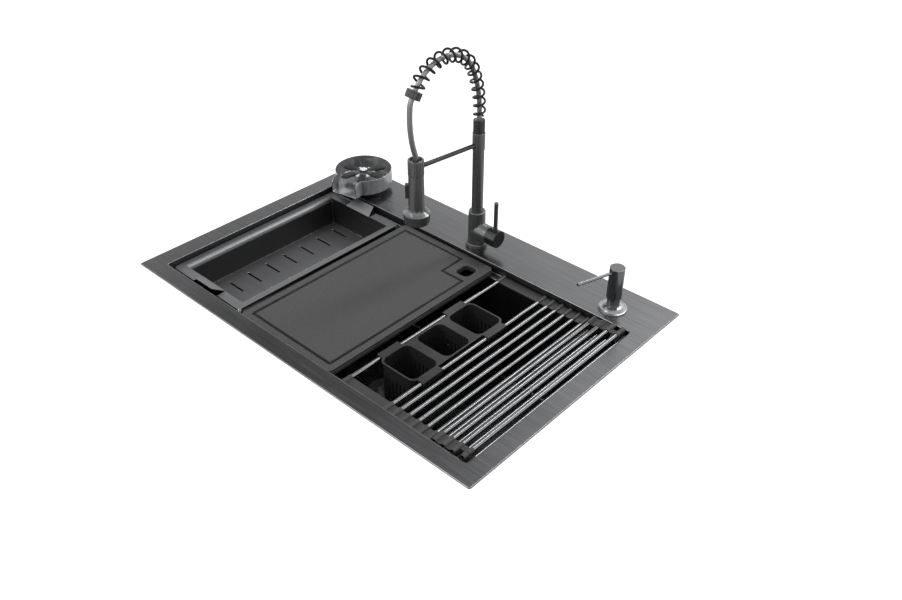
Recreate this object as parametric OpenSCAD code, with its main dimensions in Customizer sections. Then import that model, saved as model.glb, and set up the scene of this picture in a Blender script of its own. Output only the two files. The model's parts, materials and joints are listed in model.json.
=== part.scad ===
// Drop-in workstation sink with a spring spout faucet, a soap dispenser, a glass rinser
// and the colander, board, roll-up rack and cup caddy that lie on the ledge of its bowl.
// X runs to the right, Y to the back, Z up. The origin is the middle of the flange
// on the plane of the worktop.

/* [Flange and bowl] */
// Width of the flange from left to right
flange_w = 838; // [780:1:900]
// Depth of the flange from front to back
flange_d = 559; // [540:1:600]
// Height of the flange over the worktop
flange_h = 2; // [1.8:0.1:3]
// Thickness of the steel sheet
sheet_t = 1.2; // [0.8:0.1:1.5]
// Corner radius of the flange
flange_corner_r = 4; // [3.5:0.5:12]
// Flange left of the opening
left_margin = 40.5; // [36:0.5:60]
// Flange right of the opening
right_margin = 35.5; // [34:0.5:60]
// Flange in front of the opening
front_margin = 34.5; // [34:0.5:50]
// Depth of the tap deck behind the opening
deck_d = 104; // [100:0.5:120]
// Corner radius of the opening
opening_corner_r = 5; // [4:0.5:10]
// Outer radius of the bends at the top of each wall
edge_r = 2; // [1.8:0.1:3]
// Drop from the flange to the ledge
ledge_drop = 19; // [17:0.5:24]
// Width of the ledge
ledge_w = 16; // [13:0.5:20]
// Inner radius of the bend between the upper wall and the ledge
ledge_cove_r = 2; // [1:0.1:2.2]
// Depth of the bowl under the flange
bowl_depth = 240; // [200:1:260]
// Corner radius of the bowl
bowl_corner_r = 12; // [10:0.5:25]
// Inner radius between the walls and the floor
floor_cove_r = 8; // [4:0.5:9]

/* [Worktop clips] */
// Thickness of the worktop that the clips take
worktop_t = 30; // [20:1:40]
// Distance from the flange edge to the middle of a clip rail
rail_inset = 24; // [22:0.5:25]
// Length of a clip rail
rail_l = 60; // [40:1:80]
// Width of a clip rail
rail_w = 12; // [11:0.5:13]
// Height of a clip rail
rail_h = 9; // [8:0.5:12]
// Radius of the clip bolts
clip_bolt_r = 3; // [2.5:0.25:3.5]
// Width of a clip claw
claw_w = 14; // [10:0.5:18]
// Reach of a claw beyond its bolt
claw_reach = 20; // [16:0.5:24]

/* [Drain] */
// Radius of the hole in the floor
drain_hole_r = 45; // [43.5:0.25:48]
// Outer radius of the drain cup
drain_cup_r = 43; // [41:0.25:43]
// Radius of the drain flange
drain_flange_r = 57; // [52:0.5:62]
// Depth of the drain cup
drain_cup_h = 55; // [45:1:70]
// Outer radius of the tailpiece
tailpiece_r = 19.05; // [15.85:0.1:20]
// Length of the tailpiece below its nut
tailpiece_l = 60; // [40:1:100]
// Radius of the strainer basket
basket_r = 37; // [32:0.5:38]

/* [Deck holes] */
// Radius of the three holes in the tap deck
tap_hole_r = 17.5; // [16.5:0.25:18]
// Radius of the threaded shanks in them
shank_r = 16; // [15:0.25:16]
// Length of the shanks below the deck
shank_l = 55; // [45:1:70]

/* [Faucet body] */
// Place of the faucet from left to right
faucet_x = 4.5; // [-20:0.5:20]
// Distance from the back edge of the flange to the axis of the faucet
faucet_back = 73; // [59.5:0.5:73.5]
// Radius of the base ring
base_ring_r = 20.9; // [20:0.1:24]
// Height of the base ring
base_ring_h = 9; // [6:0.5:12]
// Radius of the body at its foot
body_r = 17.2; // [16.5:0.1:18]
// Radius of the body at its top
body_top_r = 16.5; // [14:0.1:17]
// Height of the body
body_h = 77; // [70:1:90]
// Height of the valve over the deck
valve_z = 34; // [32:0.5:40]
// Radius of the valve housing
valve_r = 17.5; // [17:0.1:19]
// Reach of the valve housing from the axis of the faucet
valve_l = 33; // [31:0.5:40]
// Length of the turning handle
handle_l = 22.5; // [21:0.5:28]
// Radius of the lever rod
lever_r = 4.1; // [3:0.1:5]
// Height of the top of the lever rod over the deck
lever_top = 112; // [90:1:140]
// Tilt of the lever when it is fully open
lever_tilt = 20; // [10:1:20]

/* [Spout] */
// Heading of the spout, counted from the right
spout_turn = -97.3; // [-120:0.1:-60]
// Reach from the axis of the faucet to the spray head
spout_reach = 146; // [140:0.5:150]
// Radius of the column
column_r = 11; // [9.5:0.1:13]
// Height of the top of the column over the deck
column_top = 206; // [190:1:230]
// Radius of the sleeve above the column
sleeve_r = 11.9; // [11.4:0.1:14]
// Length of the sleeve
sleeve_l = 34; // [30:0.5:40]
// Radius of the ribs of the spring seat
seat_r = 11; // [10.5:0.1:11.4]
// Length of the spring seat
seat_l = 24; // [18:0.5:30]
// Number of ribs on the spring seat
seat_ribs = 5; // [3:1:6]
// Diameter of the spring wire
wire_d = 3; // [2:0.1:3.4]
// Radius of the spring at the seat, to the middle of the wire
coil_start_r = 9.8; // [9.2:0.1:10]
// Radius of the spring at the end cap, to the middle of the wire
coil_end_r = 12.4; // [9.8:0.1:12.5]
// Number of curls of the spring
coil_turns = 15; // [12:1:18]
// Radius of the hose inside the spring
inner_hose_r = 4.5; // [3.5:0.1:5]
// Radius of the cap at the end of the spring
cap_r = 14; // [13.7:0.1:16]
// Length of that cap
cap_l = 14; // [10:0.5:18]
// Radius of the free hose
free_hose_r = 5; // [4:0.1:6]
// Radius of the docking arm
arm_r = 4.2; // [3:0.1:5]
// Height of the docking arm over the deck
arm_z = 216; // [213:0.5:222]

/* [Spray head] */
// Radius of the fluted holder
holder_r = 14.7; // [14:0.1:17]
// Height of the bottom of the holder over the deck
holder_z = 203; // [198:0.5:208]
// Length of the holder
holder_l = 29.5; // [26:0.5:34]
// Number of flutes round the holder
holder_flutes = 12; // [8:1:20]
// Radius of the neck of the head in the holder
neck_r = 11; // [9.5:0.1:11.5]
// Radius of the top of the head
head_top_r = 14; // [12.5:0.1:15]
// Radius of the lower end of the grip
head_low_r = 15; // [13.5:0.1:17]
// Radius of the flared rim
head_rim_r = 24.8; // [22:0.1:28]
// Height of the underside of the head over the deck
head_z = 108; // [90:1:112]
// Height of the flared rim
head_rim_h = 25; // [20:0.5:32]
// Heading of the button on the head, counted from the right
button_turn = -136; // [-180:1:-90]
// Height of the middle of the button over the deck
button_z = 171.5; // [165:0.5:176]
// Length of the button
button_l = 29; // [16:0.5:32]
// Width of the button
button_w = 8; // [6:0.5:10]
// Reach of the button from the axis of the head
button_reach = 20; // [18:0.25:21]
// Travel of the button
button_travel = 2; // [1:0.1:2.5]

/* [Soap dispenser] */
// Distance from the right edge of the flange to the axis of the dispenser
dispenser_right = 97.6; // [79:0.2:129]
// Distance from the back edge of the flange to the axis of the dispenser
dispenser_back = 67.1; // [59.5:0.2:71.5]
// Radius of its foot
dispenser_foot_r = 26; // [24:0.5:30]
// Height of its foot
dispenser_foot_h = 9; // [7:0.5:12]
// Radius of its neck
dispenser_neck_r = 11.5; // [10.5:0.1:12]
// Height of its neck over the deck
dispenser_neck_z = 25; // [25:0.5:30]
// Radius of the pump head
pump_r = 13.7; // [13.2:0.1:16]
// Height of the top of the pump head over the deck
pump_top = 87; // [80:0.5:100]
// Travel of the pump
pump_travel = 14; // [8:0.5:15]
// Radius of the nozzle
nozzle_r = 3; // [2.5:0.1:4]
// Height of the nozzle over the deck
nozzle_z = 79; // [76:0.5:82]
// Reach of the nozzle from the axis of the dispenser
nozzle_reach = 84; // [60:1:100]
// Heading of the nozzle, counted from the right
nozzle_turn = -108; // [-140:1:-60]
// Radius of the soap bottle
bottle_r = 30; // [24:0.5:32]
// Height of the soap bottle
bottle_h = 150; // [120:1:180]

/* [Glass rinser] */
// Distance from the left edge of the flange to the axis of the rinser
rinser_left = 95; // [79:0.5:119]
// Distance from the back edge of the flange to the axis of the rinser
rinser_back = 65.5; // [63.5:0.5:69.5]
// Radius of its bowl
rinser_r = 60; // [56:0.5:62]
// Height of its rim over the deck
rinser_top = 46; // [44:0.5:56]
// Height of the wall of its bowl
rinser_wall_h = 33; // [31:0.5:36]
// Heading of its spout, counted from the right
rinser_turn = -79; // [-110:1:-60]
// Distance from its axis to the lip of the spout
rinser_lip = 71; // [66:0.5:76]
// Width of the lip
rinser_lip_w = 62; // [50:0.5:70]
// Number of petals that carry the glass
petal_count = 6; // [5:1:8]
// Travel of the petals when a glass is pressed down
petal_travel = 5; // [3:0.5:6]

/* [Colander] */
// Gap between the left wall of the opening and the rim of the colander
colander_gap = 2.5; // [2:0.5:5]
// Width over its rim
colander_w = 203; // [190:0.5:205]
// Gap between its rim and the walls of the opening in front and behind
colander_end_gap = 9.95; // [6.2:0.05:10.25]
// Height of its rim over the ledge
colander_rim_h = 8; // [6:0.5:12]
// Depth of the colander under its rim
colander_depth = 60; // [40:1:80]
// Width between its walls
colander_inner_w = 161; // [140:1:165]
// Width of its rim at the end walls
colander_end_rim = 19.3; // [18.3:0.1:30]
// Radius of the bend from its rim to its side walls
colander_bend_r = 11.5; // [6:0.5:12]
// Thickness of its sheet
colander_t = 1; // [0.8:0.1:1.2]
// Number of slots in each row
colander_slots = 8; // [4:1:8]
// Distance from slot to slot
colander_pitch = 45; // [40:0.5:45]
// Length of a slot
slot_l = 46; // [30:1:50]
// Width of a slot
slot_w = 4; // [2:0.5:8]
// Width of a grip tab at its root
tab_root_w = 70; // [50:1:90]
// Width of a grip tab at its edge
tab_edge_w = 54; // [30:1:70]
// Reach of a grip tab beyond the end wall
tab_reach = 22; // [15:0.5:23]
// Rise of a grip tab over the rim
tab_rise = 12; // [8:0.5:16]

/* [Cutting board] */
// Gap between the colander and the board
board_gap = 15; // [15:0.5:20]
// Width of the board
board_w = 236; // [220:1:240]
// Gap between the board and the walls of the opening in front and behind
board_end_gap = 3.5; // [2.25:0.25:9.25]
// Thickness of the board
board_t = 12; // [10:0.5:16]
// Corner radius of the board
board_corner_r = 8; // [4:0.5:14]
// Distance from the board's edge to the middle of the juice groove
groove_inset = 16; // [12:0.5:18]
// Width of the juice groove
groove_w = 7; // [5:0.5:9]
// Depth of the juice groove
groove_h = 2.5; // [1:0.25:3]
// Width of the finger hole
finger_w = 30; // [24:0.5:32]
// Depth of the finger hole, front to back
finger_d = 34; // [28:0.5:36]
// Corner radius of the finger hole
finger_corner_r = 9; // [6:0.5:11]

/* [Roll-up rack] */
// Distance from the board to the middle of the first rod
rack_gap = 29.5; // [28.5:0.5:30]
// Distance from rod to rod
rod_pitch = 19.2; // [19:0.1:19.3]
// Radius of the rods
rod_r = 4; // [3:0.1:4.2]
// Wall of the rods
rod_wall = 0.8; // [0.5:0.1:1.2]
// Radius of the rubber round the rods
grip_r = 5; // [4.6:0.1:5.2]
// Thickness of the rubber between the rods
strip_t = 3; // [2:0.1:4]
// Width of the rubber strips
strip_w = 22.2; // [16:0.2:24]
// Gap between the rack and the walls of the opening in front and behind
rack_end_gap = 3.25; // [2.25:0.25:8.25]
// Least distance from the middle of the last rod to the right wall of the opening
rack_right_gap = 7; // [6:0.5:20]
// Number of rods in the folded flap
flap_rods_n = 3; // [2:1:5]
// Height of the hinge rod of the flap over the rods below
flap_rise = 14; // [13:0.5:16]

/* [Cup caddy] */
// Distance from cup to cup
cup_pitch = 80.5; // [72:0.5:84]
// Width of a cup inside
cup_w = 76; // [60:0.5:76]
// Depth of a cup inside, front to back
cup_d = 62; // [50:0.5:64]
// Height of a cup
cup_h = 102; // [80:1:120]
// Corner radius of a cup inside
cup_corner_r = 13; // [8:0.5:16]
// Wall of a cup
cup_t = 1.6; // [1.2:0.1:2]
// Thickness of the top plate
caddy_plate_t = 2; // [1.5:0.1:3]
// Place of the middle cup from front to back
caddy_y = -51; // [-60:0.5:-30]
// Distance from cup slot to cup slot
cup_slot_pitch = 9; // [8:0.5:12]
// Width of a cup slot
cup_slot_w = 3; // [2:0.25:5]
// Height of a cup slot
cup_slot_h = 46; // [30:1:60]
// Width of a hanging lug
lug_w = 12.5; // [12:0.1:13]
// Length of a hanging lug
lug_l = 48; // [30:1:52]

/* [Hidden] */
$fn = 64;

// Overrun of cuts
over = 1;
// Radial gap of turning and sliding fits
run_gap = 0.05;
// Gap between flat faces that turn or slide past each other
slip_gap = 0.3;
// Height of the flange top, of the ledge and of the bowl floor
deck_z = flange_h;
ledge_z = deck_z - ledge_drop;
floor_z = deck_z - bowl_depth;
deck_under_z = deck_z - sheet_t;

// Opening and bowl in plan
opening_w = flange_w - left_margin - right_margin;
opening_d = flange_d - front_margin - deck_d;
opening_x = (left_margin - right_margin) / 2;
opening_y = (front_margin - deck_d) / 2;
bowl_w = opening_w - 2 * ledge_w;
bowl_d = opening_d - 2 * ledge_w;
opening_left = opening_x - opening_w / 2;
opening_right = opening_x + opening_w / 2;

// Fittings on the deck, placed from the edges of the flange
faucet_y = flange_d / 2 - faucet_back;
dispenser_x = flange_w / 2 - dispenser_right;
dispenser_y = flange_d / 2 - dispenser_back;
rinser_x = rinser_left - flange_w / 2;
rinser_y = flange_d / 2 - rinser_back;

// Pieces on the ledge from left to right; the rack has as many rods as there is room for
gap_pitches = 5;
colander_x = opening_left + colander_gap + colander_w / 2;
colander_d = opening_d - 2 * colander_end_gap;
colander_inner_d = colander_d - 2 * colander_end_rim;
board_x = colander_x + colander_w / 2 + board_gap + board_w / 2;
board_d = opening_d - 2 * board_end_gap;
rod_start = board_x + board_w / 2 + rack_gap;
rack_d = opening_d - 2 * rack_end_gap;
rack_room = opening_right - rack_right_gap - rod_start;
rack_rods_n = floor(rack_room / rod_pitch) - gap_pitches + 1;

// Seal under the flange
seal_w = 9;
seal_inset = 3;

// Pads glued under the bowl and on its long walls
pad_t = 3;
pad_w = 200;
pad_d = 170;
pad_gap = 140;
pad_corner_r = 10;
wall_pad_w = 400;
wall_pad_h = 90;

// Clips
rail_wall = 1.2;
rail_slot_play = 1;
rail_slot_w = 2 * clip_bolt_r + rail_slot_play;
bolt_head_t = 3;
bolt_head_w = rail_w - 2 * rail_wall - rail_slot_play;
bolt_spare = 28;
bolt_l = worktop_t + bolt_spare;
claw_t = 2.5;
claw_rise = 5;
claw_heel = 9;
claw_hole_gap = 0.4;
claw_hole_r = clip_bolt_r + claw_hole_gap;
clip_nut_r = 5.5;
clip_nut_h = 5;
wing_w = 9;
wing_t = 2;
clip_side_share = 0.36;
clip_end_share = 0.3;

// Drain
drain_flange_t = 1.6;
drain_wall = 1.5;
drain_throat_out = 3;
drain_throat_r = tailpiece_r + drain_throat_out;
drain_taper_h = 10;
gasket_t = 3;
drain_nut_h = 10;
drain_nut_wall = 8;
drain_nut_lugs = 8;
drain_lug_w = 9;
drain_lug_r = 4;
tail_wall = 1.5;
tail_nut_h = 16;
tail_nut_wall = 7;
tail_nut_r = drain_throat_r + tail_nut_wall;
tail_nut_lip = 3;
tail_neck_in = 0.3;
basket_t = 1.2;
basket_h = 30;
basket_rim_t = 1.2;
basket_holes = 12;
basket_hole_r = 2.2;
basket_rings = 2;
basket_ring_pitch = 11;
knob_r = 9;
knob_h = 9;
knob_stem_r = 3;

// Shanks, washers and nuts of the deck
shank_wall = 3.5;
washer_r = 28;
washer_t = 3;
nut_r = 26;
nut_h = 9;
nut_lugs = 6;
nut_lug_r = 5;

// Faucet body
edge_round = 2;
cartridge_r = 12.5;
cartridge_l = 20;
cartridge_start = 8;
stem_r = 5;
stem_depth = 12;
tongue_w = 9;
tongue_t = 6;
pin_r = 2;
pin_half_l = 14.5;
pivot_out = 7;
handle_gap = 0.8;
handle_cavity_r = 12.5;
handle_cavity_l = 16.5;
handle_edge = 1;
lever_out = 14;
lever_socket = 4;
tilt_play = 1;
wedge_share = 1.1;
spigot_r = 8;
spigot_l = 20;
inlet_base_t = 8;
inlet_r = 5.3;
inlet_l = 22;
inlet_bore_r = 3.2;
inlet_out = 6.9;
valve_x = faucet_x + valve_l + handle_gap;
pivot_x = valve_x + pivot_out;
lever_x = faucet_x + valve_l + lever_out;

// Column, sleeve and seat
core_r = 8;
rib_depth = 0.7;
sleeve_edge = 0.8;
seat_z = column_top + sleeve_l;
spring_z = seat_z + seat_l;
socket_depth = 3;

// Route of the spring and its hose in the plane of the spout, as runs of length and turn
arch_rise_l = 16;
arch_bend_l = 85;
arch_crest_l = 57;
arch_fall_l = 47;
arch_end_l = 55;
arch_runs = [
    [arch_rise_l, 0],
    [arch_bend_l, 23],
    [arch_crest_l, 52],
    [arch_fall_l, 40],
    [arch_end_l, 35]
];
arch_start = [0, spring_z, 90];

// Route of the free hose: away from the cap, back in under it and straight down into the head
hose_drop = 84;
hose_lean = 17;
hose_lead = 2;
hose_top_r = 30;
hose_low_r = 30;

// Sides of the hose tubes and distance between their rings
hose_sides = 12;
hose_step = 10;
wire_sides = 6;
curl_rings = 8;

// Cap at the end of the spring
cap_flutes = 10;
cap_flute_depth = 1.2;
cap_edge = 1;

// Holder and head
flute_r = 2;
flute_depth = 0.8;
neck_recess = 3.5;
holder_edge = 1;
button_depth = 6;
button_gap = 0.4;
face_r = 20;
face_t = 3;
waterway_r = 6;
face_nozzles = 16;
face_nozzle_r = 1.1;
face_nozzle_h = 1.5;
rim_band_h = 4;
rim_neck_h = 6;

// Soap dispenser
foot_edge_h = 2;
foot_step = 1;
bottle_wall = 1.5;
bottle_neck_r = 13.5;
bottle_shoulder_h = 18;
barrel_r = 9;
barrel_l = 60;
barrel_lip_t = 3;
pump_roof = 16;
pump_edge = 0.8;
piston_r = 4;
piston_l = 34;
piston_socket = 8;
dip_r = 3;
dip_wall = 0.8;
dip_clear = 8;
pump_spring_r = 7.4;
pump_wire_d = 1;
pump_curls = 8;

// Glass rinser
rinser_t = 1.4;
rinser_foot_r = 34;
rinser_foot_top_r = 26;
guide_r = 7;
guide_bore_r = 4;
lip_drop_r = 13;
hub_r = 11;
petal_t = 4;
petal_root_w = 8;
petal_tip_w = 15;
petal_tip_out = 51;
petal_below_rim = 6;
star_r = 8.5;
star_h = 4;
star_notches = 6;
star_notch_r = 2.2;
star_dome_r = 4.5;
star_dome_h = 2;
star_dome_share = 0.9;
rinser_spring_r = 8.6;
rinser_wire_d = 0.8;
rinser_curls = 4;
rinser_stem_l = 26;

// Colander
colander_corner_r = 8;
row_gap = 28;
foot_r = 4;
foot_h = 4;
tab_slit = 1;

// Board
board_step_h = 1.5;
board_step_z = 4;
board_step_in = 1.6;
finger_bevel = 2;
finger_in_x = 33.5;
finger_in_y = 39.5;
groove_step_x = 67;
groove_step_y = 71;

// Rack
rod_short = 1;
grip_foot_w = 7;
flap_back = 5.2;
flap_dip = 4.7;
hinge_outer_share = 0.52;
hinge_inner_share = 0.48;

// Caddy
lug_bore_gap = 0.3;
lug_drop = 3;
caddy_rim = 2.4;
caddy_slot_top = 27;
cup_floor_t = 1.6;
cup_floor_hole_r = 3;
cup_hole_share = 0.2;
cup_slots_wide = 5;
cup_slots_deep = 4;

// Flat outlines

module rounded(w, d, r) {
    square([w - 2 * r, d], center = true);
    square([w, d - 2 * r], center = true);
    for (x = [-1, 1], y = [-1, 1])
        translate([x * (w / 2 - r), y * (d / 2 - r)])
            circle(r);
}

module quarter_ring(r_in, r_out, turn) {
    rotate(turn)
        intersection() {
            difference() {
                circle(r_out);
                circle(r_in);
            }
            square(r_out);
        }
}

module slot_outline(l, w) {
    square([l - w, w], center = true);
    for (x = [-1, 1])
        translate([x * (l - w) / 2, 0])
            circle(w / 2);
}

// Solids used by several pieces

// Profile carried round a rectangle with rounded corners; its x runs outwards
module swept(w, d, r) {
    for (k = [0 : 3]) {
        along_l = k % 2 == 0 ? d : w;
        out = k % 2 == 0 ? w / 2 : d / 2;
        rotate(90 * k) {
            translate([out, 0, 0])
                rotate([90, 0, 0])
                    linear_extrude(along_l - 2 * r, center = true)
                        children();
            translate([out - r, along_l / 2 - r, 0])
                rotate_extrude(angle = 90)
                    translate([r, 0])
                        children();
        }
    }
}

module tube(r_out, r_in, h) {
    difference() {
        cylinder(h = h, r = r_out);
        translate([0, 0, -over])
            cylinder(h = h + 2 * over, r = r_in);
    }
}

// Upright post from r0 to r1 with its upper edge rounded
module post(r0, r1, h, e) {
    rotate_extrude() {
        polygon([[0, 0], [r0, 0], [r1, h - e], [r1 - e, h], [0, h]]);
        translate([r1 - e, h - e])
            circle(e);
    }
}

// Tube with rounded outer edges at both ends
module edged_tube(r_out, r_in, h, e) {
    rotate_extrude() {
        translate([r_in, 0])
            square([r_out - e - r_in, h]);
        translate([r_in, e])
            square([r_out - r_in, h - 2 * e]);
        for (z = [e, h - e])
            translate([r_out - e, z])
                circle(e);
    }
}

module ribbed_tube(r_out, r_in, h, ribs, depth) {
    difference() {
        tube(r_out, r_in, h);
        for (k = [1 : ribs - 1])
            translate([0, 0, h * k / ribs])
                rotate_extrude()
                    translate([r_out, 0])
                        circle(depth);
    }
}

// Places along a route made of runs of length and turn; a place is [x, z, heading]
function advance(place, run, s) =
    let (turn = run[0] > 0 ? -run[1] * s / run[0] : 0,
         chord = turn == 0 ? s : 2 * s * 180 / (PI * abs(turn)) * sin(abs(turn) / 2),
         mid = place[2] + turn / 2)
    [place[0] + chord * cos(mid), place[1] + chord * sin(mid), place[2] + turn];
function place_at(runs, place, s, i = 0) =
    i == len(runs) - 1 || s <= runs[i][0]
        ? advance(place, runs[i], s)
        : place_at(runs, advance(place, runs[i], runs[i][0]), s - runs[i][0], i + 1);
function route_length(runs, i = 0) =
    i == len(runs) ? 0 : runs[i][0] + route_length(runs, i + 1);

// Middle line and outward side of a tube that follows a route
function route_points(runs, start, n) =
    let (whole = route_length(runs))
    [for (k = [0 : n]) let (p = place_at(runs, start, whole * k / n)) [p[0], 0, p[1]]];

// Middle line of a spring along a route: a straight end, the curls and a straight end
function coil_side(p, a) = [-sin(p[2]) * cos(a), -sin(a), cos(p[2]) * cos(a)];
function coil_point(p, a, r) = [p[0], 0, p[1]] + r * coil_side(p, a);
function coil_angles(curls) =
    concat([0], [for (k = [0 : curls * curl_rings]) k * 360 / curl_rings], [curls * 360]);
function coil_advances(whole, curls, d) =
    let (n = curls * curl_rings)
    concat([0], [for (k = [0 : n]) d + (whole - 2 * d) * k / n], [whole]);
function coil_points(runs, start, r0, r1, curls, d) =
    let (whole = route_length(runs), a = coil_angles(curls), s = coil_advances(whole, curls, d))
    [for (k = [0 : len(a) - 1])
        coil_point(place_at(runs, start, s[k]), a[k], r0 + (r1 - r0) * s[k] / whole)];
function coil_sides(runs, start, curls, d) =
    let (whole = route_length(runs), a = coil_angles(curls), s = coil_advances(whole, curls, d))
    [for (k = [0 : len(a) - 1]) coil_side(place_at(runs, start, s[k]), a[k])];

function unit(v) = v / norm(v);
function tangent(points, k) =
    unit(points[min(k + 1, len(points) - 1)] - points[max(k - 1, 0)]);

// Closed tube of triangles round a list of points; sides holds a direction across each point
module swept_tube(points, sides, r, n) {
    rings = len(points);
    corners = [for (k = [0 : rings - 1])
        let (t = tangent(points, k), u = unit(sides[k] - (sides[k] * t) * t), v = cross(t, u))
        for (j = [0 : n - 1])
            points[k] + r * (cos(360 * j / n) * u + sin(360 * j / n) * v)];
    walls = [for (k = [0 : rings - 2], j = [0 : n - 1])
        let (a = k * n + j, b = k * n + (j + 1) % n)
        each [[a, a + n, b], [b, a + n, b + n]]];
    ends = [for (j = [1 : n - 2])
        each [[0, j, j + 1], [(rings - 1) * n, (rings - 1) * n + j + 1, (rings - 1) * n + j]]];
    polyhedron(points = corners, faces = concat(walls, ends));
}

module coil(runs, start, r0, r1, curls, d) {
    swept_tube(coil_points(runs, start, r0, r1, curls, d), coil_sides(runs, start, curls, d),
        d / 2, wire_sides);
}

// Sink

module bent_sheet(top_z, foot_z, foot_r) {
    translate([edge_r, top_z - edge_r])
        quarter_ring(edge_r - sheet_t, edge_r, 90);
    translate([0, foot_z + foot_r])
        square([sheet_t, top_z - edge_r - foot_z - foot_r]);
    translate([-foot_r, foot_z + foot_r])
        quarter_ring(foot_r, foot_r + sheet_t, 270);
}

module at_opening(z = 0) {
    translate([opening_x, opening_y, z])
        children();
}

module at_deck_holes() {
    for (p = [[faucet_x, faucet_y], [dispenser_x, dispenser_y], [rinser_x, rinser_y]])
        translate([p[0], p[1], 0])
            children();
}

module sink_bowl() {
    color("#4a4b4d") {
        difference() {
            translate([0, 0, deck_under_z])
                linear_extrude(sheet_t)
                    difference() {
                        rounded(flange_w - 2 * flange_h, flange_d - 2 * flange_h,
                            flange_corner_r - flange_h);
                        translate([opening_x, opening_y])
                            rounded(opening_w + 2 * edge_r, opening_d + 2 * edge_r,
                                opening_corner_r + edge_r);
                    }
            at_deck_holes()
                translate([0, 0, -over])
                    cylinder(h = deck_z + 2 * over, r = tap_hole_r);
        }
        swept(flange_w, flange_d, flange_corner_r)
            translate([-flange_h, 0])
                quarter_ring(flange_h - sheet_t, flange_h, 0);
        at_opening() {
            swept(opening_w, opening_d, opening_corner_r)
                bent_sheet(deck_z, ledge_z, ledge_cove_r);
            translate([0, 0, ledge_z - sheet_t])
                linear_extrude(sheet_t)
                    difference() {
                        rounded(opening_w - 2 * ledge_cove_r, opening_d - 2 * ledge_cove_r,
                            opening_corner_r - ledge_cove_r);
                        rounded(bowl_w + 2 * edge_r, bowl_d + 2 * edge_r, bowl_corner_r + edge_r);
                    }
            swept(bowl_w, bowl_d, bowl_corner_r)
                bent_sheet(ledge_z, floor_z, floor_cove_r);
            translate([0, 0, floor_z - sheet_t])
                linear_extrude(sheet_t)
                    difference() {
                        rounded(bowl_w - 2 * floor_cove_r, bowl_d - 2 * floor_cove_r,
                            bowl_corner_r - floor_cove_r);
                        circle(drain_hole_r);
                    }
        }
    }
}

module rim_seal() {
    outer_w = flange_w - 2 * flange_h - 2 * seal_inset;
    outer_d = flange_d - 2 * flange_h - 2 * seal_inset;
    color("#202020")
        linear_extrude(deck_under_z)
            difference() {
                rounded(outer_w, outer_d, flange_corner_r);
                rounded(outer_w - 2 * seal_w, outer_d - 2 * seal_w, flange_corner_r / 2);
            }
}

module sound_pads() {
    color("#2b2b2b")
        at_opening() {
            for (x = [-1, 1])
                translate([x * (pad_w + pad_gap) / 2, 0, floor_z - sheet_t - pad_t])
                    linear_extrude(pad_t)
                        rounded(pad_w, pad_d, pad_corner_r);
            for (y = [-1, 1])
                translate([0, y * (bowl_d / 2 + sheet_t + pad_t / 2), (ledge_z + floor_z) / 2])
                    rotate([90, 0, 0])
                        linear_extrude(pad_t, center = true)
                            rounded(wall_pad_w, wall_pad_h, pad_corner_r);
        }
}

// Clips: x runs outwards from the bowl, the middle of the rail is the origin
module at_clips() {
    for (k = [0 : 3]) {
        out = k % 2 == 0 ? flange_w / 2 : flange_d / 2;
        along_l = k % 2 == 0 ? flange_d * clip_end_share : flange_w * clip_side_share;
        for (s = [-1, 1])
            rotate(90 * k)
                translate([out - rail_inset, s * along_l, deck_under_z])
                    children();
    }
}

module clip_rails() {
    color("#9a9a98")
        at_clips()
            rotate([90, 0, 0])
                linear_extrude(rail_l, center = true)
                    difference() {
                        translate([-rail_w / 2, -rail_h])
                            square([rail_w, rail_h]);
                        translate([-rail_w / 2 + rail_wall, -rail_h + rail_wall])
                            square([rail_w - 2 * rail_wall, rail_h - 2 * rail_wall]);
                        translate([-rail_slot_w / 2, -rail_h - over])
                            square([rail_slot_w, rail_wall + 2 * over]);
                    }
}

module clip_bolts() {
    color("#b0b0b0")
        at_clips()
            translate([0, 0, -rail_h + rail_wall]) {
                translate([-bolt_head_w / 2, -bolt_head_w / 2, 0])
                    cube([bolt_head_w, bolt_head_w, bolt_head_t]);
                translate([0, 0, -bolt_l])
                    cylinder(h = bolt_l + bolt_head_t / 2, r = clip_bolt_r);
            }
}

module clip_claws() {
    claw_z = -worktop_t - deck_under_z - claw_rise;
    color("#8f8f8f")
        at_clips()
            difference() {
                rotate([90, 0, 0])
                    linear_extrude(claw_w, center = true) {
                        translate([-claw_heel, claw_z - claw_t])
                            square([claw_heel + claw_reach, claw_t]);
                        polygon([
                            [claw_reach - claw_t, claw_z - claw_t / 2],
                            [claw_reach, claw_z - claw_t / 2],
                            [claw_reach, claw_z + claw_rise],
                            [claw_reach - claw_t / 2, claw_z + claw_rise]
                        ]);
                    }
                translate([0, 0, claw_z - claw_t - over])
                    cylinder(h = claw_t + 2 * over, r = claw_hole_r);
            }
}

module clip_nuts() {
    nut_z = -worktop_t - deck_under_z - claw_rise - claw_t - clip_nut_h;
    color("#b0b0b0")
        at_clips()
            translate([0, 0, nut_z])
                difference() {
                    union() {
                        cylinder(h = clip_nut_h, r = clip_nut_r);
                        translate([-clip_nut_r - wing_w, -wing_t / 2, 0])
                            cube([2 * (clip_nut_r + wing_w), wing_t, clip_nut_h]);
                    }
                    translate([0, 0, -over])
                        cylinder(h = clip_nut_h + 2 * over, r = clip_bolt_r + run_gap);
                }
}

// Drain

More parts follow.
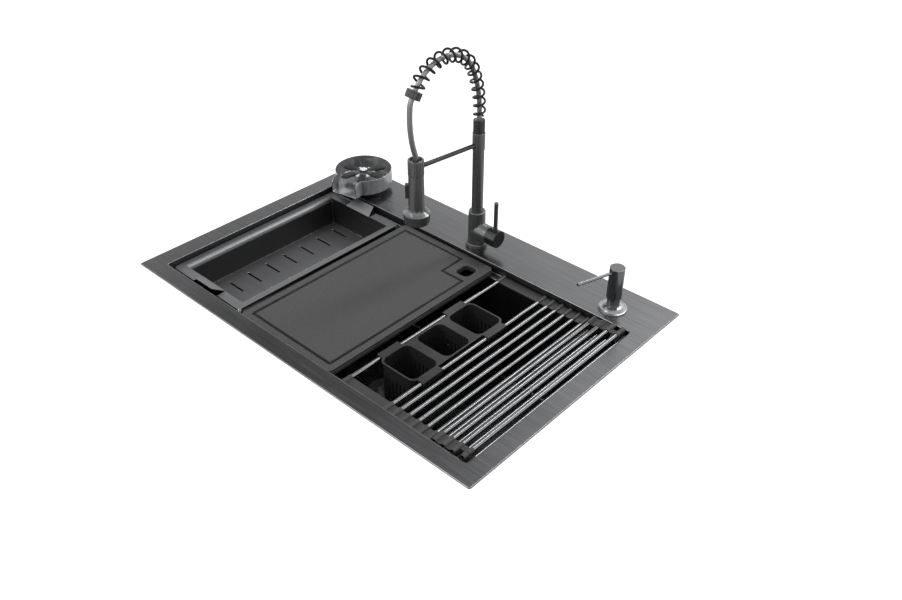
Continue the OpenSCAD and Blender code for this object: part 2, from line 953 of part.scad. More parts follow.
module drain_body() {
    foot_z = -drain_cup_h - drain_taper_h;
    color("#a8a8a6")
        at_opening(floor_z)
            rotate_extrude()
                polygon([
                    [drain_flange_r, 0],
                    [drain_flange_r - drain_flange_t, drain_flange_t],
                    [drain_cup_r - drain_wall, drain_flange_t],
                    [drain_cup_r - drain_wall, -drain_cup_h],
                    [tailpiece_r, foot_z + drain_wall],
                    [tailpiece_r, foot_z - tail_nut_h],
                    [drain_throat_r, foot_z - tail_nut_h],
                    [drain_throat_r, foot_z],
                    [drain_cup_r, -drain_cup_h - drain_wall],
                    [drain_cup_r, 0]
                ]);
}

module drain_gasket() {
    color("#1e1e1e")
        at_opening(floor_z - sheet_t - gasket_t)
            tube(drain_flange_r, drain_cup_r + run_gap, gasket_t);
}

module drain_nut() {
    color("#d9d9d4")
        at_opening(floor_z - sheet_t - gasket_t - drain_nut_h)
            difference() {
                union() {
                    cylinder(h = drain_nut_h, r = drain_cup_r + drain_nut_wall);
                    for (k = [0 : drain_nut_lugs - 1])
                        rotate(k * 360 / drain_nut_lugs)
                            translate([drain_cup_r + drain_nut_wall / 2, -drain_lug_w / 2, 0])
                                cube([drain_nut_wall / 2 + drain_lug_r, drain_lug_w, drain_nut_h]);
                }
                translate([0, 0, -over])
                    cylinder(h = drain_nut_h + 2 * over, r = drain_cup_r + run_gap);
            }
}

module tailpiece() {
    top_z = floor_z - drain_cup_h - drain_taper_h - tail_nut_h;
    color("#c4c4c0")
        at_opening(top_z - tailpiece_l - tail_nut_lip) {
            tube(tailpiece_r, tailpiece_r - tail_wall, tailpiece_l);
            tube(tailpiece_r - tail_neck_in, tailpiece_r - tail_wall, tailpiece_l + tail_nut_lip);
        }
}

module tailpiece_nut() {
    top_z = floor_z - drain_cup_h - drain_taper_h - tail_nut_h;
    color("#d9d9d4")
        at_opening(top_z - tail_nut_lip)
            difference() {
                post(tail_nut_r, tail_nut_r, tail_nut_h, tail_nut_lip / 2);
                translate([0, 0, tail_nut_lip])
                    cylinder(h = tail_nut_h, r = drain_throat_r + run_gap);
                translate([0, 0, -over])
                    cylinder(h = tail_nut_h, r = tailpiece_r - tail_neck_in + run_gap);
                for (k = [0 : nut_lugs * 2 - 1])
                    rotate(k * 180 / nut_lugs)
                        translate([tail_nut_r + tail_nut_lip / 2, 0, -over])
                            cylinder(h = tail_nut_h + 2 * over, r = tail_nut_lip);
            }
}

module strainer_basket() {
    color("#b4b4b2")
        at_opening(floor_z + drain_flange_t) {
            difference() {
                union() {
                    translate([0, 0, -basket_h])
                        cylinder(h = basket_h, r = basket_r);
                    cylinder(h = basket_rim_t, r = drain_cup_r + drain_wall);
                }
                translate([0, 0, -basket_h + basket_t])
                    cylinder(h = basket_h + over + basket_rim_t, r = basket_r - basket_t);
                for (ring = [1 : basket_rings], k = [0 : basket_holes - 1])
                    rotate(k * 360 / basket_holes + ring * 180 / basket_holes)
                        translate([ring * basket_ring_pitch + basket_hole_r, 0, -basket_h - over])
                            cylinder(h = basket_t + 2 * over, r = basket_hole_r);
            }
            translate([0, 0, -basket_h]) {
                cylinder(h = basket_h, r = knob_stem_r);
                translate([0, 0, basket_h - knob_h / 2])
                    post(knob_r - edge_round, knob_r, knob_h, edge_round);
            }
        }
}

// Washers and nuts that hold the faucet, the dispenser and the rinser

module deck_washers() {
    color("#1e1e1e")
        at_deck_holes()
            translate([0, 0, deck_under_z - washer_t])
                tube(washer_r, shank_r + run_gap, washer_t);
}

module deck_nuts() {
    color("#c9b26a")
        at_deck_holes()
            translate([0, 0, deck_under_z - washer_t - nut_h])
                difference() {
                    cylinder(h = nut_h, r = nut_r);
                    translate([0, 0, -over])
                        cylinder(h = nut_h + 2 * over, r = shank_r + run_gap);
                    for (k = [0 : nut_lugs - 1])
                        rotate(k * 360 / nut_lugs)
                            translate([nut_r, 0, -over])
                                cylinder(h = nut_h + 2 * over, r = nut_lug_r);
                }
}

module shank() {
    translate([0, 0, deck_z - shank_l - sheet_t])
        tube(shank_r, shank_r - shank_wall, shank_l + sheet_t);
}

// Faucet body

module at_faucet(z = 0) {
    translate([faucet_x, faucet_y, deck_z + z])
        children();
}

// Along the axis of the valve: z of the children points to the right
module at_valve(x) {
    translate([x, faucet_y, deck_z + valve_z])
        rotate([0, 90, 0])
            children();
}

module faucet_base_ring() {
    color("#3a3b3d")
        at_faucet()
            difference() {
                post(base_ring_r, base_ring_r, base_ring_h, edge_round);
                translate([0, 0, -over])
                    cylinder(h = base_ring_h + 2 * over, r = body_r + run_gap);
            }
}

module faucet_body() {
    color("#3a3b3d")
        difference() {
            union() {
                at_faucet()
                    post(body_r, body_top_r, body_h, edge_round);
                at_valve(faucet_x)
                    cylinder(h = valve_l, r = valve_r);
            }
            at_faucet(body_h - spigot_l - slip_gap)
                cylinder(h = spigot_l + slip_gap + over, r = spigot_r + run_gap);
            at_valve(faucet_x + cartridge_start)
                cylinder(h = valve_l, r = cartridge_r + run_gap);
        }
}

module faucet_shank() {
    color("#c9b26a")
        translate([faucet_x, faucet_y, 0])
            shank();
}

module supply_inlets() {
    base_z = deck_z - sheet_t - shank_l;
    color("#c9b26a")
        translate([faucet_x, faucet_y, base_z]) {
            cylinder(h = inlet_base_t, r = shank_r - shank_wall - run_gap);
            for (x = [-1, 1])
                translate([x * inlet_out, 0, -inlet_l])
                    tube(inlet_r, inlet_bore_r, inlet_l);
        }
}

module cartridge() {
    color("#d8d8d4")
        at_valve(faucet_x + cartridge_start)
            difference() {
                cylinder(h = cartridge_l, r = cartridge_r);
                translate([0, 0, cartridge_l - stem_depth])
                    cylinder(h = stem_depth + over, r = stem_r + run_gap);
            }
}

module cartridge_stem() {
    stem_x = faucet_x + cartridge_start + cartridge_l - stem_depth + slip_gap;
    color("#c9b26a")
        difference() {
            union() {
                at_valve(stem_x)
                    cylinder(h = valve_x - stem_x, r = stem_r);
                translate([valve_x - tongue_w / 2, faucet_y, deck_z + valve_z])
                    rotate([90, 0, 0])
                        linear_extrude(tongue_t, center = true) {
                            translate([0, -tongue_w / 2])
                                square([pivot_x - valve_x + tongue_w / 2, tongue_w]);
                            translate([pivot_x - valve_x + tongue_w / 2, 0])
                                circle(tongue_w / 2);
                        }
            }
            translate([pivot_x, faucet_y, deck_z + valve_z])
                rotate([90, 0, 0])
                    cylinder(h = tongue_t + 2 * over, r = pin_r + run_gap, center = true);
        }
}

module lever_pin() {
    color("#b0b0b0")
        translate([pivot_x, faucet_y, deck_z + valve_z])
            rotate([90, 0, 0])
                cylinder(h = 2 * pin_half_l, r = pin_r, center = true);
}

module lever_cap() {
    cut_h = valve_r * wedge_share;
    cut_w = cut_h * tan(lever_tilt + tilt_play);
    color("#3a3b3d")
        difference() {
            at_valve(valve_x)
                post(valve_r, valve_r, handle_l, handle_edge);
            at_valve(valve_x - over)
                cylinder(h = handle_cavity_l + over, r = handle_cavity_r);
            translate([pivot_x, faucet_y, deck_z + valve_z])
                rotate([90, 0, 0])
                    cylinder(h = 2 * pin_half_l, r = pin_r + run_gap, center = true);
            translate([valve_x, faucet_y, deck_z + valve_z])
                rotate([90, 0, 0])
                    linear_extrude(2 * valve_r + 2 * over, center = true)
                        polygon([
                            [-over, 0],
                            [0, 0],
                            [cut_w, -cut_h],
                            [-over, -cut_h]
                        ]);
            translate([lever_x, faucet_y, deck_z + valve_z + valve_r - lever_socket])
                cylinder(h = lever_socket + over, r = lever_r + run_gap);
        }
}

module lever_rod() {
    rod_z = valve_z + valve_r - lever_socket;
    color("#3a3b3d")
        translate([lever_x, faucet_y, deck_z + rod_z])
            post(lever_r, lever_r, lever_top - rod_z, lever_r / 2);
}

// Spout, modelled with its reach along x and turned to its heading

module at_spout(s = 0, z = 0) {
    at_faucet()
        rotate(spout_turn)
            translate([s, 0, z])
                children();
}

module spout_column() {
    color("#3a3b3d")
        at_spout() {
            translate([0, 0, body_h - spigot_l])
                cylinder(h = spigot_l + 2 * slip_gap, r = spigot_r);
            translate([0, 0, body_h + slip_gap])
                cylinder(h = column_top - body_h - slip_gap, r = column_r);
            translate([0, 0, column_top - over])
                cylinder(h = spring_z - column_top + over, r = core_r);
        }
}

module column_sleeve() {
    color("#343537")
        difference() {
            at_spout(0, column_top)
                edged_tube(sleeve_r, core_r + run_gap, sleeve_l, sleeve_edge);
            docking_rod(run_gap);
        }
}

module spring_seat() {
    color("#3a3b3d")
        at_spout(0, seat_z)
            ribbed_tube(seat_r, core_r + run_gap, seat_l, seat_ribs, rib_depth);
}

module spout_spring() {
    color("#3f4042")
        at_spout()
            coil(arch_runs, arch_start, coil_start_r, coil_end_r, coil_turns, wire_d);
}

module spring_hose() {
    n = ceil(route_length(arch_runs) / hose_step);
    points = route_points(arch_runs, arch_start, n);
    color("#77787a")
        at_spout()
            swept_tube(points, [for (p = points) [0, 1, 0]], inner_hose_r, hose_sides);
}

// Place and heading of the end of the arch, and of the far face of its cap
arch_end = place_at(arch_runs, arch_start, route_length(arch_runs));
cap_end = advance(arch_end, [cap_l, 0], cap_l);

module spring_end_cap() {
    color("#343537")
        at_spout(arch_end[0], arch_end[1])
            rotate([0, 90 - arch_end[2], 0])
                difference() {
                    edged_tube(cap_r, 0, cap_l, cap_edge);
                    for (k = [0 : cap_flutes - 1])
                        rotate((k + 0.5) * 360 / cap_flutes)
                            translate([cap_r + flute_r - cap_flute_depth, 0, -over])
                                cylinder(h = cap_l + 2 * over, r = flute_r);
                }
}

// The free hose leaves the cap straight, drops, bows back in one long bend and straightens
hose_start = advance(cap_end, [hose_lead, 0], hose_lead);
neck_top = holder_z + holder_l - neck_recess;
drop_turn = cap_end[2] + hose_drop;
bow_turn = 90 + hose_lean - hose_drop;
drop_out = hose_top_r * (sin(cap_end[2]) + sin(hose_drop));
lean_back = hose_low_r * (1 - cos(hose_lean));
bow_r = (hose_start[0] + drop_out - lean_back - spout_reach) / (sin(hose_drop) - cos(hose_lean));
hose_bends = [
    [hose_top_r * drop_turn * PI / 180, drop_turn],
    [bow_r * bow_turn * PI / 180, bow_turn],
    [hose_low_r * hose_lean * PI / 180, -hose_lean]
];
hose_foot = place_at(hose_bends, hose_start, route_length(hose_bends));
hose_runs = concat(hose_bends, [[hose_foot[1] - neck_top, 0]]);

module spray_hose() {
    n = ceil(route_length(hose_runs) / hose_step);
    points = concat([[cap_end[0], 0, cap_end[1]]],
        [for (k = [0 : n - 1])
            let (p = place_at(hose_runs, hose_start, route_length(hose_runs) * k / n)) [p[0], 0, p[1]]],
        [[spout_reach, 0, neck_top + free_hose_r], [spout_reach, 0, neck_top]]);
    color("#77787a")
        at_spout()
            swept_tube(points, [for (p = points) [0, 1, 0]], free_hose_r, hose_sides);
}

module docking_rod(gap = 0) {
    from = sleeve_r - socket_depth;
    to = spout_reach - holder_r + socket_depth;
    at_spout(from, arm_z)
        rotate([0, 90, 0])
            cylinder(h = to - from, r = arm_r + gap);
}

module docking_arm() {
    color("#3a3b3d")
        docking_rod();
}

module head_holder() {
    color("#303133")
        difference() {
            at_spout(spout_reach, holder_z)
                difference() {
                    edged_tube(holder_r, neck_r + run_gap, holder_l, holder_edge);
                    for (k = [0 : holder_flutes - 1])
                        rotate((k + 0.5) * 360 / holder_flutes)
                            translate([holder_r + flute_r - flute_depth, 0, -over])
                                cylinder(h = holder_l + 2 * over, r = flute_r);
                }
            docking_rod(run_gap);
        }
}

// Spray head

module at_button() {
    at_spout(spout_reach, button_z)
        rotate(button_turn - spout_turn)
            children();
}

module spray_head() {
    grip_z = head_z + head_rim_h;
    color("#3a3b3d")
        difference() {
            at_spout(spout_reach)
                rotate_extrude()
                    polygon([
                        [waterway_r, neck_top],
                        [neck_r, neck_top],
                        [neck_r, holder_z - slip_gap],
                        [head_top_r, holder_z - slip_gap],
                        [head_low_r, grip_z],
                        [head_rim_r, grip_z - rim_neck_h],
                        [head_rim_r, grip_z - rim_neck_h - rim_band_h],
                        [head_rim_r - edge_round, head_z],
                        [face_r, head_z],
                        [face_r, head_z + face_t],
                        [waterway_r, head_z + face_t + face_r - waterway_r]
                    ]);
            at_button()
                translate([head_top_r - button_depth, -button_w / 2 - button_gap,
                    -button_l / 2 - button_gap])
                    cube([button_reach, button_w + 2 * button_gap, button_l + 2 * button_gap]);
        }
}

module spray_face() {
    color("#9b9c9c")
        at_spout(spout_reach, head_z)
            difference() {
                union() {
                    cylinder(h = face_t, r = face_r);
                    for (k = [0 : face_nozzles - 1])
                        rotate(k * 360 / face_nozzles)
                            translate([face_r - 4 * face_nozzle_r, 0, -face_nozzle_h])
                                cylinder(h = face_nozzle_h + face_t / 2, r = face_nozzle_r);
                }
                translate([0, 0, -over])
                    cylinder(h = face_t + 2 * over, r = waterway_r);
            }
}

module spray_button() {
    from = head_top_r - button_depth + button_travel + slip_gap;
    color("#2c2d2f")
        at_button()
            translate([from, 0, 0])
                rotate([0, 90, 0])
                    linear_extrude(button_reach - from)
                        rounded(button_l, button_w, button_w / 4);
}

// Soap dispenser

module at_dispenser(z = 0) {
    translate([dispenser_x, dispenser_y, deck_z + z])
        children();
}

module dispenser_flange() {
    cove_r = dispenser_foot_h - foot_edge_h;
    color("#3a3b3d")
        at_dispenser()
            rotate_extrude()
                difference() {
                    polygon([
                        [shank_r - shank_wall - run_gap, 0],
                        [dispenser_foot_r, 0],
                        [dispenser_foot_r, foot_edge_h],
                        [dispenser_neck_r + foot_step, dispenser_foot_h],
                        [dispenser_neck_r, dispenser_foot_h],
                        [dispenser_neck_r, dispenser_neck_z],
                        [barrel_r + run_gap, dispenser_neck_z],
                        [barrel_r + run_gap, 0]
                    ]);
                    translate([dispenser_foot_r, foot_edge_h + cove_r])
                        circle(cove_r);
                }
}

module dispenser_shank() {
    color("#3a3b3d")
        translate([dispenser_x, dispenser_y, 0])
            shank();
}

module dispenser_bottle() {
    top_z = deck_z - sheet_t - shank_l;
    color("#e8e8e2")
        translate([dispenser_x, dispenser_y, top_z])
            rotate_extrude()
                polygon([
                    [0, -bottle_h],
                    [bottle_r, -bottle_h],
                    [bottle_r, -bottle_shoulder_h],
                    [bottle_neck_r, 0],
                    [bottle_neck_r, 0],
                    [barrel_r + run_gap, 0],
                    [barrel_r + run_gap, -bottle_wall],
                    [bottle_neck_r - bottle_wall, -bottle_wall],
                    [bottle_r - bottle_wall, -bottle_shoulder_h - bottle_wall],
                    [bottle_r - bottle_wall, -bottle_h + bottle_wall],
                    [0, -bottle_h + bottle_wall]
                ]);
}

module pump_barrel() {
    color("#e8e8e2")
        at_dispenser(dispenser_neck_z - barrel_l)
            difference() {
                union() {
                    cylinder(h = barrel_l, r = barrel_r);
                    translate([0, 0, barrel_l])
                        cylinder(h = barrel_lip_t, r = dispenser_neck_r);
                }
                translate([0, 0, barrel_l + barrel_lip_t - piston_l - pump_travel])
                    cylinder(h = barrel_l, r = piston_r + run_gap);
                translate([0, 0, -over])
                    cylinder(h = barrel_l, r = dip_r - dip_wall);
            }
}

module dip_tube() {
    bottom_z = -sheet_t - shank_l - bottle_h + bottle_wall + dip_clear;
    color("#e8e8e2")
        at_dispenser(bottom_z)
            tube(dip_r, dip_r - dip_wall, dispenser_neck_z - barrel_l - bottom_z);
}

module pump_stem() {
    color("#e8e8e2")
        at_dispenser(dispenser_neck_z + barrel_lip_t - piston_l)
            cylinder(h = pump_top - pump_roof + piston_socket - dispenser_neck_z - barrel_lip_t
                + piston_l, r = piston_r);
}

module pump_head() {
    color("#3a3b3d")
        difference() {
            at_dispenser(dispenser_neck_z)
                difference() {
                    post(pump_r, pump_r, pump_top - dispenser_neck_z, pump_edge);
                    translate([0, 0, -over])
                        cylinder(h = pump_top - pump_roof - dispenser_neck_z + over,
                            r = dispenser_neck_r + slip_gap);
                    cylinder(h = pump_top - pump_roof - dispenser_neck_z + piston_socket
                        + slip_gap, r = piston_r + run_gap);
                }
            nozzle_tube(nozzle_r + run_gap, 0);
        }
}

module nozzle_tube(r, bore) {
    from = pump_r - socket_depth;
    at_dispenser(nozzle_z)
        rotate(nozzle_turn)
            translate([from, 0, 0])
                rotate([0, 90, 0])
                    difference() {
                        cylinder(h = nozzle_reach - from, r = r);
                        if (bore > 0)
                            translate([0, 0, -over])
                                cylinder(h = nozzle_reach, r = bore);
                    }
}

module pump_nozzle() {
    color("#3a3b3d")
        nozzle_tube(nozzle_r, nozzle_r / 2);
}

module pump_spring() {
    from = dispenser_neck_z + barrel_lip_t;
    color("#b0b0b0")
        at_dispenser()
            coil([[pump_top - pump_roof - from, 0]], [0, from, 90], pump_spring_r,
                pump_spring_r, pump_curls, pump_wire_d);
}

// Glass rinser, modelled with its spout along x and turned to its heading

rinser_floor_z = rinser_top - rinser_wall_h;
petal_z = rinser_top - petal_below_rim - petal_t;
guide_top_z = petal_z - petal_travel - 2 * slip_gap;

module at_rinser(z = 0) {
    translate([rinser_x, rinser_y, deck_z + z])
        rotate(rinser_turn)
            children();
}

module rinser_outline(inset) {
    circle(rinser_r - inset);
    translate([0, -rinser_lip_w / 2 + inset])
        square([rinser_lip - inset, rinser_lip_w - 2 * inset]);
}

module rinser_bowl() {
    color("#4a4b4d")
        at_rinser(rinser_floor_z)
            difference() {
                linear_extrude(rinser_wall_h)
                    rinser_outline(0);
                translate([0, 0, rinser_t])
                    linear_extrude(rinser_wall_h) {
                        rinser_outline(rinser_t);
                        translate([0, -rinser_lip_w / 2 + rinser_t])
                            square([rinser_lip + over, rinser_lip_w - 2 * rinser_t]);
                    }
                translate([0, 0, -over])
                    cylinder(h = rinser_t + 2 * over, r = guide_r + run_gap);
                translate([0, rinser_lip_w, 0])
                    rotate([90, 0, 0])
                        linear_extrude(2 * rinser_lip_w)
                            difference() {
                                translate([rinser_lip - lip_drop_r, rinser_wall_h - lip_drop_r])
                                    square(lip_drop_r + over);
                                translate([rinser_lip - lip_drop_r, rinser_wall_h - lip_drop_r])
                                    circle(lip_drop_r);
                            }
            }
}

module rinser_base() {
    color("#3a3b3d")
        at_rinser()
            difference() {
                union() {
                    cylinder(h = rinser_floor_z, r1 = rinser_foot_r, r2 = rinser_foot_top_r);
                    cylinder(h = guide_top_z, r = guide_r);
                }
                translate([0, 0, -over])
                    cylinder(h = guide_top_z + 2 * over, r = guide_bore_r + run_gap);
            }
}

module rinser_shank() {
    color("#c9b26a")
        translate([rinser_x, rinser_y, 0])
            shank();
}

module rinser_petals() {
    color("#2b2b2c")
        at_rinser(petal_z)
            difference() {
                union() {
                    cylinder(h = petal_t, r = hub_r);
                    for (k = [0 : petal_count - 1])
                        rotate((k + 0.5) * 360 / petal_count)
                            linear_extrude(petal_t) {
                                polygon([
                                    [0, -petal_root_w / 2],
                                    [petal_tip_out - petal_tip_w / 2, -petal_tip_w / 2],
                                    [petal_tip_out - petal_tip_w / 2, petal_tip_w / 2],
                                    [0, petal_root_w / 2]
                                ]);
                                translate([petal_tip_out - petal_tip_w / 2, 0])
                                    circle(petal_tip_w / 2);
                            }
                }
                translate([0, 0, -over])
                    cylinder(h = petal_t + 2 * over, r = guide_bore_r + run_gap);
            }
}

module rinser_star() {
    color("#c8c9ca")
        at_rinser(petal_z + petal_t) {
            translate([0, 0, -rinser_stem_l])
                cylinder(h = rinser_stem_l + star_h / 2, r = guide_bore_r);
            difference() {
                cylinder(h = star_h, r = star_r);
                for (k = [0 : star_notches - 1])
                    rotate(k * 360 / star_notches)
                        translate([star_r, 0, -over])
                            cylinder(h = star_h + 2 * over, r = star_notch_r);
            }
            translate([0, 0, star_h])
                post(star_dome_r, star_dome_r, star_dome_h, star_dome_h * star_dome_share);
        }
}

module rinser_spring() {
    from = rinser_floor_z + rinser_t;
    color("#b0b0b0")
        at_rinser()
            coil([[petal_z - from, 0]], [0, from, 90], rinser_spring_r, rinser_spring_r,
                rinser_curls, rinser_wire_d);
}

// Colander

colander_z = ledge_z + colander_rim_h;

module at_colander(z = 0) {
    translate([colander_x, opening_y, colander_z + z])
        children();
}

// Section of the trough across x, t thicker than the space inside it
module trough(t) {
    half = colander_inner_w / 2;
    bend = colander_bend_r;
    translate([-half - t, -colander_depth - t])
        square([2 * (half + t), colander_depth + t]);
    for (s = [-1, 1])
        intersection() {
            translate([s * half, -bend])
                translate([s < 0 ? -bend : 0, 0])
                    square(bend);
            difference() {
                translate([s * half, -bend])
                    translate([s < 0 ? -bend : 0, 0])
                        square(bend);
                translate([s * (half + bend), -bend])
                    circle(bend - t);
            }
        }
}

module colander_slot_cuts() {
    for (row = [-1, 1], k = [0 : colander_slots - 1])
        translate([row * (row_gap + slot_l) / 2, (k - (colander_slots - 1) / 2) * colander_pitch,
            -colander_depth - colander_t - over])
            linear_extrude(colander_t + 2 * over)
                slot_outline(slot_l, slot_w);
}

module grip_tab() {
    tab_l = norm([tab_reach, tab_rise]);
    translate([0, colander_inner_d / 2, -colander_t])
        rotate([atan2(tab_rise, tab_reach), 0, 0])
            linear_extrude(colander_t)
                polygon([
                    [-tab_root_w / 2, 0],
                    [tab_root_w / 2, 0],
                    [tab_edge_w / 2, tab_l],
                    [-tab_edge_w / 2, tab_l]
                ]);
}

module colander() {
    color("#6b6c6e")
        at_colander() {
            difference() {
                union() {
                    rotate([90, 0, 0])
                        linear_extrude(colander_inner_d + 2 * colander_t, center = true)
                            trough(colander_t);
                    translate([0, 0, -colander_t])
                        linear_extrude(colander_t)
                            rounded(colander_w, colander_d, colander_corner_r);
                    translate([0, 0, -colander_rim_h])
                        linear_extrude(colander_rim_h)
                            difference() {
                                rounded(colander_w, colander_d, colander_corner_r);
                                rounded(colander_w - 2 * colander_t, colander_d - 2 * colander_t,
                                    colander_corner_r - colander_t);
                            }
                }
                rotate([90, 0, 0])
                    linear_extrude(colander_inner_d, center = true) {
                        trough(0);
                        translate([-colander_inner_w / 2 - colander_bend_r, 0])
                            square([colander_inner_w + 2 * colander_bend_r, over]);
                    }
                colander_slot_cuts();
                for (s = [-1, 1])
                    rotate(90 - s * 90)
                        translate([-tab_root_w / 2 - tab_slit, colander_inner_d / 2 + colander_t,
                            -colander_rim_h - over])
                            cube([tab_root_w + 2 * tab_slit, colander_d, colander_rim_h + 2 * over]);
            }
            grip_tab();
            mirror([0, 1, 0])
                grip_tab();
        }
}

module colander_feet() {
    color("#1e1e1e")
        for (s = [-1, 1])
            at_colander(-colander_depth - colander_t)
                translate([0, s * colander_pitch, -foot_h])
                    cylinder(h = foot_h, r = foot_r);
}

// Board

module groove_run(a, b) {
    length = norm(b - a);
    translate(a)
        rotate(atan2(b[1] - a[1], b[0] - a[0]))
            translate([length / 2, 0])
                slot_outline(length + groove_w, groove_w);
}

module cutting_board() {
    far_x = board_w / 2 - groove_inset;
    far_y = board_d / 2 - groove_inset;
    hole = [board_w / 2 - finger_in_x, board_d / 2 - finger_in_y];
    corners = [
        [-far_x, -far_y],
        [far_x, -far_y],
        [far_x, far_y + groove_inset - groove_step_y],
        [board_w / 2 - groove_step_x, far_y + groove_inset - groove_step_y],
        [board_w / 2 - groove_step_x, far_y],
        [-far_x, far_y]
    ];
    color("#3b3c3e")
        translate([board_x, opening_y, ledge_z])
            difference() {
                linear_extrude(board_t)
                    rounded(board_w, board_d, board_corner_r);
                translate([0, 0, board_t - board_step_z - board_step_h])
                    linear_extrude(board_step_h)
                        difference() {
                            square([board_w + over, board_d + over], center = true);
                            rounded(board_w - 2 * board_step_in, board_d - 2 * board_step_in,
                                board_corner_r - board_step_in);
                        }
                translate([0, 0, board_t - groove_h])
                    linear_extrude(groove_h + over)
                        for (k = [0 : len(corners) - 1])
                            groove_run(corners[k], corners[(k + 1) % len(corners)]);
                translate([hole[0], hole[1], -over])
                    linear_extrude(board_t + 2 * over)
                        rounded(finger_w, finger_d, finger_corner_r);
                translate([hole[0], hole[1], board_t])
                    swept(finger_w, finger_d, finger_corner_r)
                        polygon([[-over, over], [-over, -finger_bevel], [0, -finger_bevel],
                            [finger_bevel, 0], [finger_bevel, over]]);
            }
}

// Rack: rods lie along y, x and z give their places

rod_z = ledge_z + grip_r;
hinge_rod = [rod_start + (gap_pitches + rack_rods_n - 1) * rod_pitch - flap_back,
    rod_z + flap_rise];
lower_rods = concat([[rod_start, rod_z]],
    [for (k = [0 : rack_rods_n - 1]) [rod_start + (gap_pitches + k) * rod_pitch, rod_z]]);
flap_slope = asin(flap_dip / (flap_rods_n * rod_pitch));
flap_places = [for (k = [1 : flap_rods_n])
    hinge_rod - k * rod_pitch * [cos(flap_slope), sin(flap_slope)]];

// Turns x and z of a flat outline into a solid that runs from y0 to y1
module along_y(y0, y1) {
    translate([0, y1, 0])
        rotate([90, 0, 0])
            linear_extrude(y1 - y0)
                children();
}

module rods(places) {
    l = rack_d - 2 * rod_short;
    for (p = places)
        translate([p[0], opening_y + l / 2, p[1]])
            rotate([90, 0, 0])
                tube(rod_r, rod_r - rod_wall, l);
}

module grips(places) {
    for (p = places)
        translate(p)
            circle(grip_r);
}

module web(a, b) {
    translate(a)
        rotate(atan2(b[1] - a[1], b[0] - a[0]))
            translate([0, -strip_t / 2])
                square([norm(b - a), strip_t]);
}

module bores(places, gap) {
    for (p = places)
        translate(p)
            circle(rod_r + gap);
}

// The two strips; the outer and inner halves share the hinge rod
module each_strip(from_share, to_share) {
    for (s = [-1, 1]) {
        y0 = rack_d / 2 - strip_w * (1 - from_share);
        y1 = rack_d / 2 - strip_w * (1 - to_share);
        along_y(opening_y + (s > 0 ? y0 : -y1), opening_y + (s > 0 ? y1 : -y0))
            children();
    }
}

module rack_rods() {
    color("#8d8e90")
        rods(concat(lower_rods, [hinge_rod]));
}

module rack_strips() {
    last = lower_rods[len(lower_rods) - 1];
    color("#232324") {
        each_strip(0, 1)
            difference() {
                union() {
                    grips(lower_rods);
                    for (p = lower_rods)
                        translate([p[0] - grip_foot_w / 2, ledge_z])
                            square([grip_foot_w, grip_r]);
                    web(lower_rods[0], last);
                }
                bores(lower_rods, run_gap);
            }
        each_strip(hinge_outer_share, 1)
            difference() {
                union() {
                    grips([last, hinge_rod]);
                    web(last, hinge_rod);
                }
                bores([last, hinge_rod], run_gap);
            }
    }
}

module flap_rods() {
    color("#8d8e90")
        rods(flap_places);
}

module flap_strips() {
    color("#232324") {
        each_strip(0, 1)
            difference() {
                union() {
                    grips(flap_places);
                    web(flap_places[0], flap_places[flap_rods_n - 1]);
                }
                bores(flap_places, run_gap);
            }
        each_strip(0, hinge_inner_share)
            difference() {
                union() {
                    grips([flap_places[0], hinge_rod]);
                    web(flap_places[0], hinge_rod);
                }
                bores([flap_places[0], hinge_rod], run_gap);
            }
    }
}

// Caddy

caddy_x = rod_start + gap_pitches * rod_pitch / 2;
caddy_top_z = rod_z + rod_r + lug_bore_gap + cup_t;

module cup_slots(l, n) {
    for (k = [0 : n - 1])
        translate([(k - (n - 1) / 2) * cup_slot_pitch - cup_slot_w / 2, -l / 2,
            -caddy_slot_top - cup_slot_h])
            cube([cup_slot_w, l, cup_slot_h]);
}

module cup() {
    outer_w = cup_w + 2 * cup_t;
    outer_d = cup_d + 2 * cup_t;
    difference() {
        translate([0, 0, -cup_h])
            linear_extrude(cup_h)
                rounded(outer_w, outer_d, cup_corner_r + cup_t);
        translate([0, 0, -cup_h + cup_floor_t])
            linear_extrude(cup_h)
                rounded(cup_w, cup_d, cup_corner_r);
        cup_slots(outer_d + over, cup_slots_wide);
        rotate(90)
            cup_slots(outer_w + over, cup_slots_deep);
        for (x = [-1, 1], y = [-1, 1])
            translate([x * cup_w * cup_hole_share, y * cup_d * cup_hole_share, -cup_h - over])
                cylinder(h = cup_floor_t + 2 * over, r = cup_floor_hole_r);
    }
}

module lug() {
    drop = caddy_top_z - rod_z + lug_drop;
    rotate([90, 0, 0])
        linear_extrude(lug_l, center = true)
            difference() {
                translate([-lug_w / 2, -drop])
                    square([lug_w, drop]);
                translate([0, rod_z - caddy_top_z])
                    circle(rod_r + lug_bore_gap);
                translate([-rod_r - lug_bore_gap, -drop - over])
                    square([2 * (rod_r + lug_bore_gap), lug_drop + over]);
            }
}

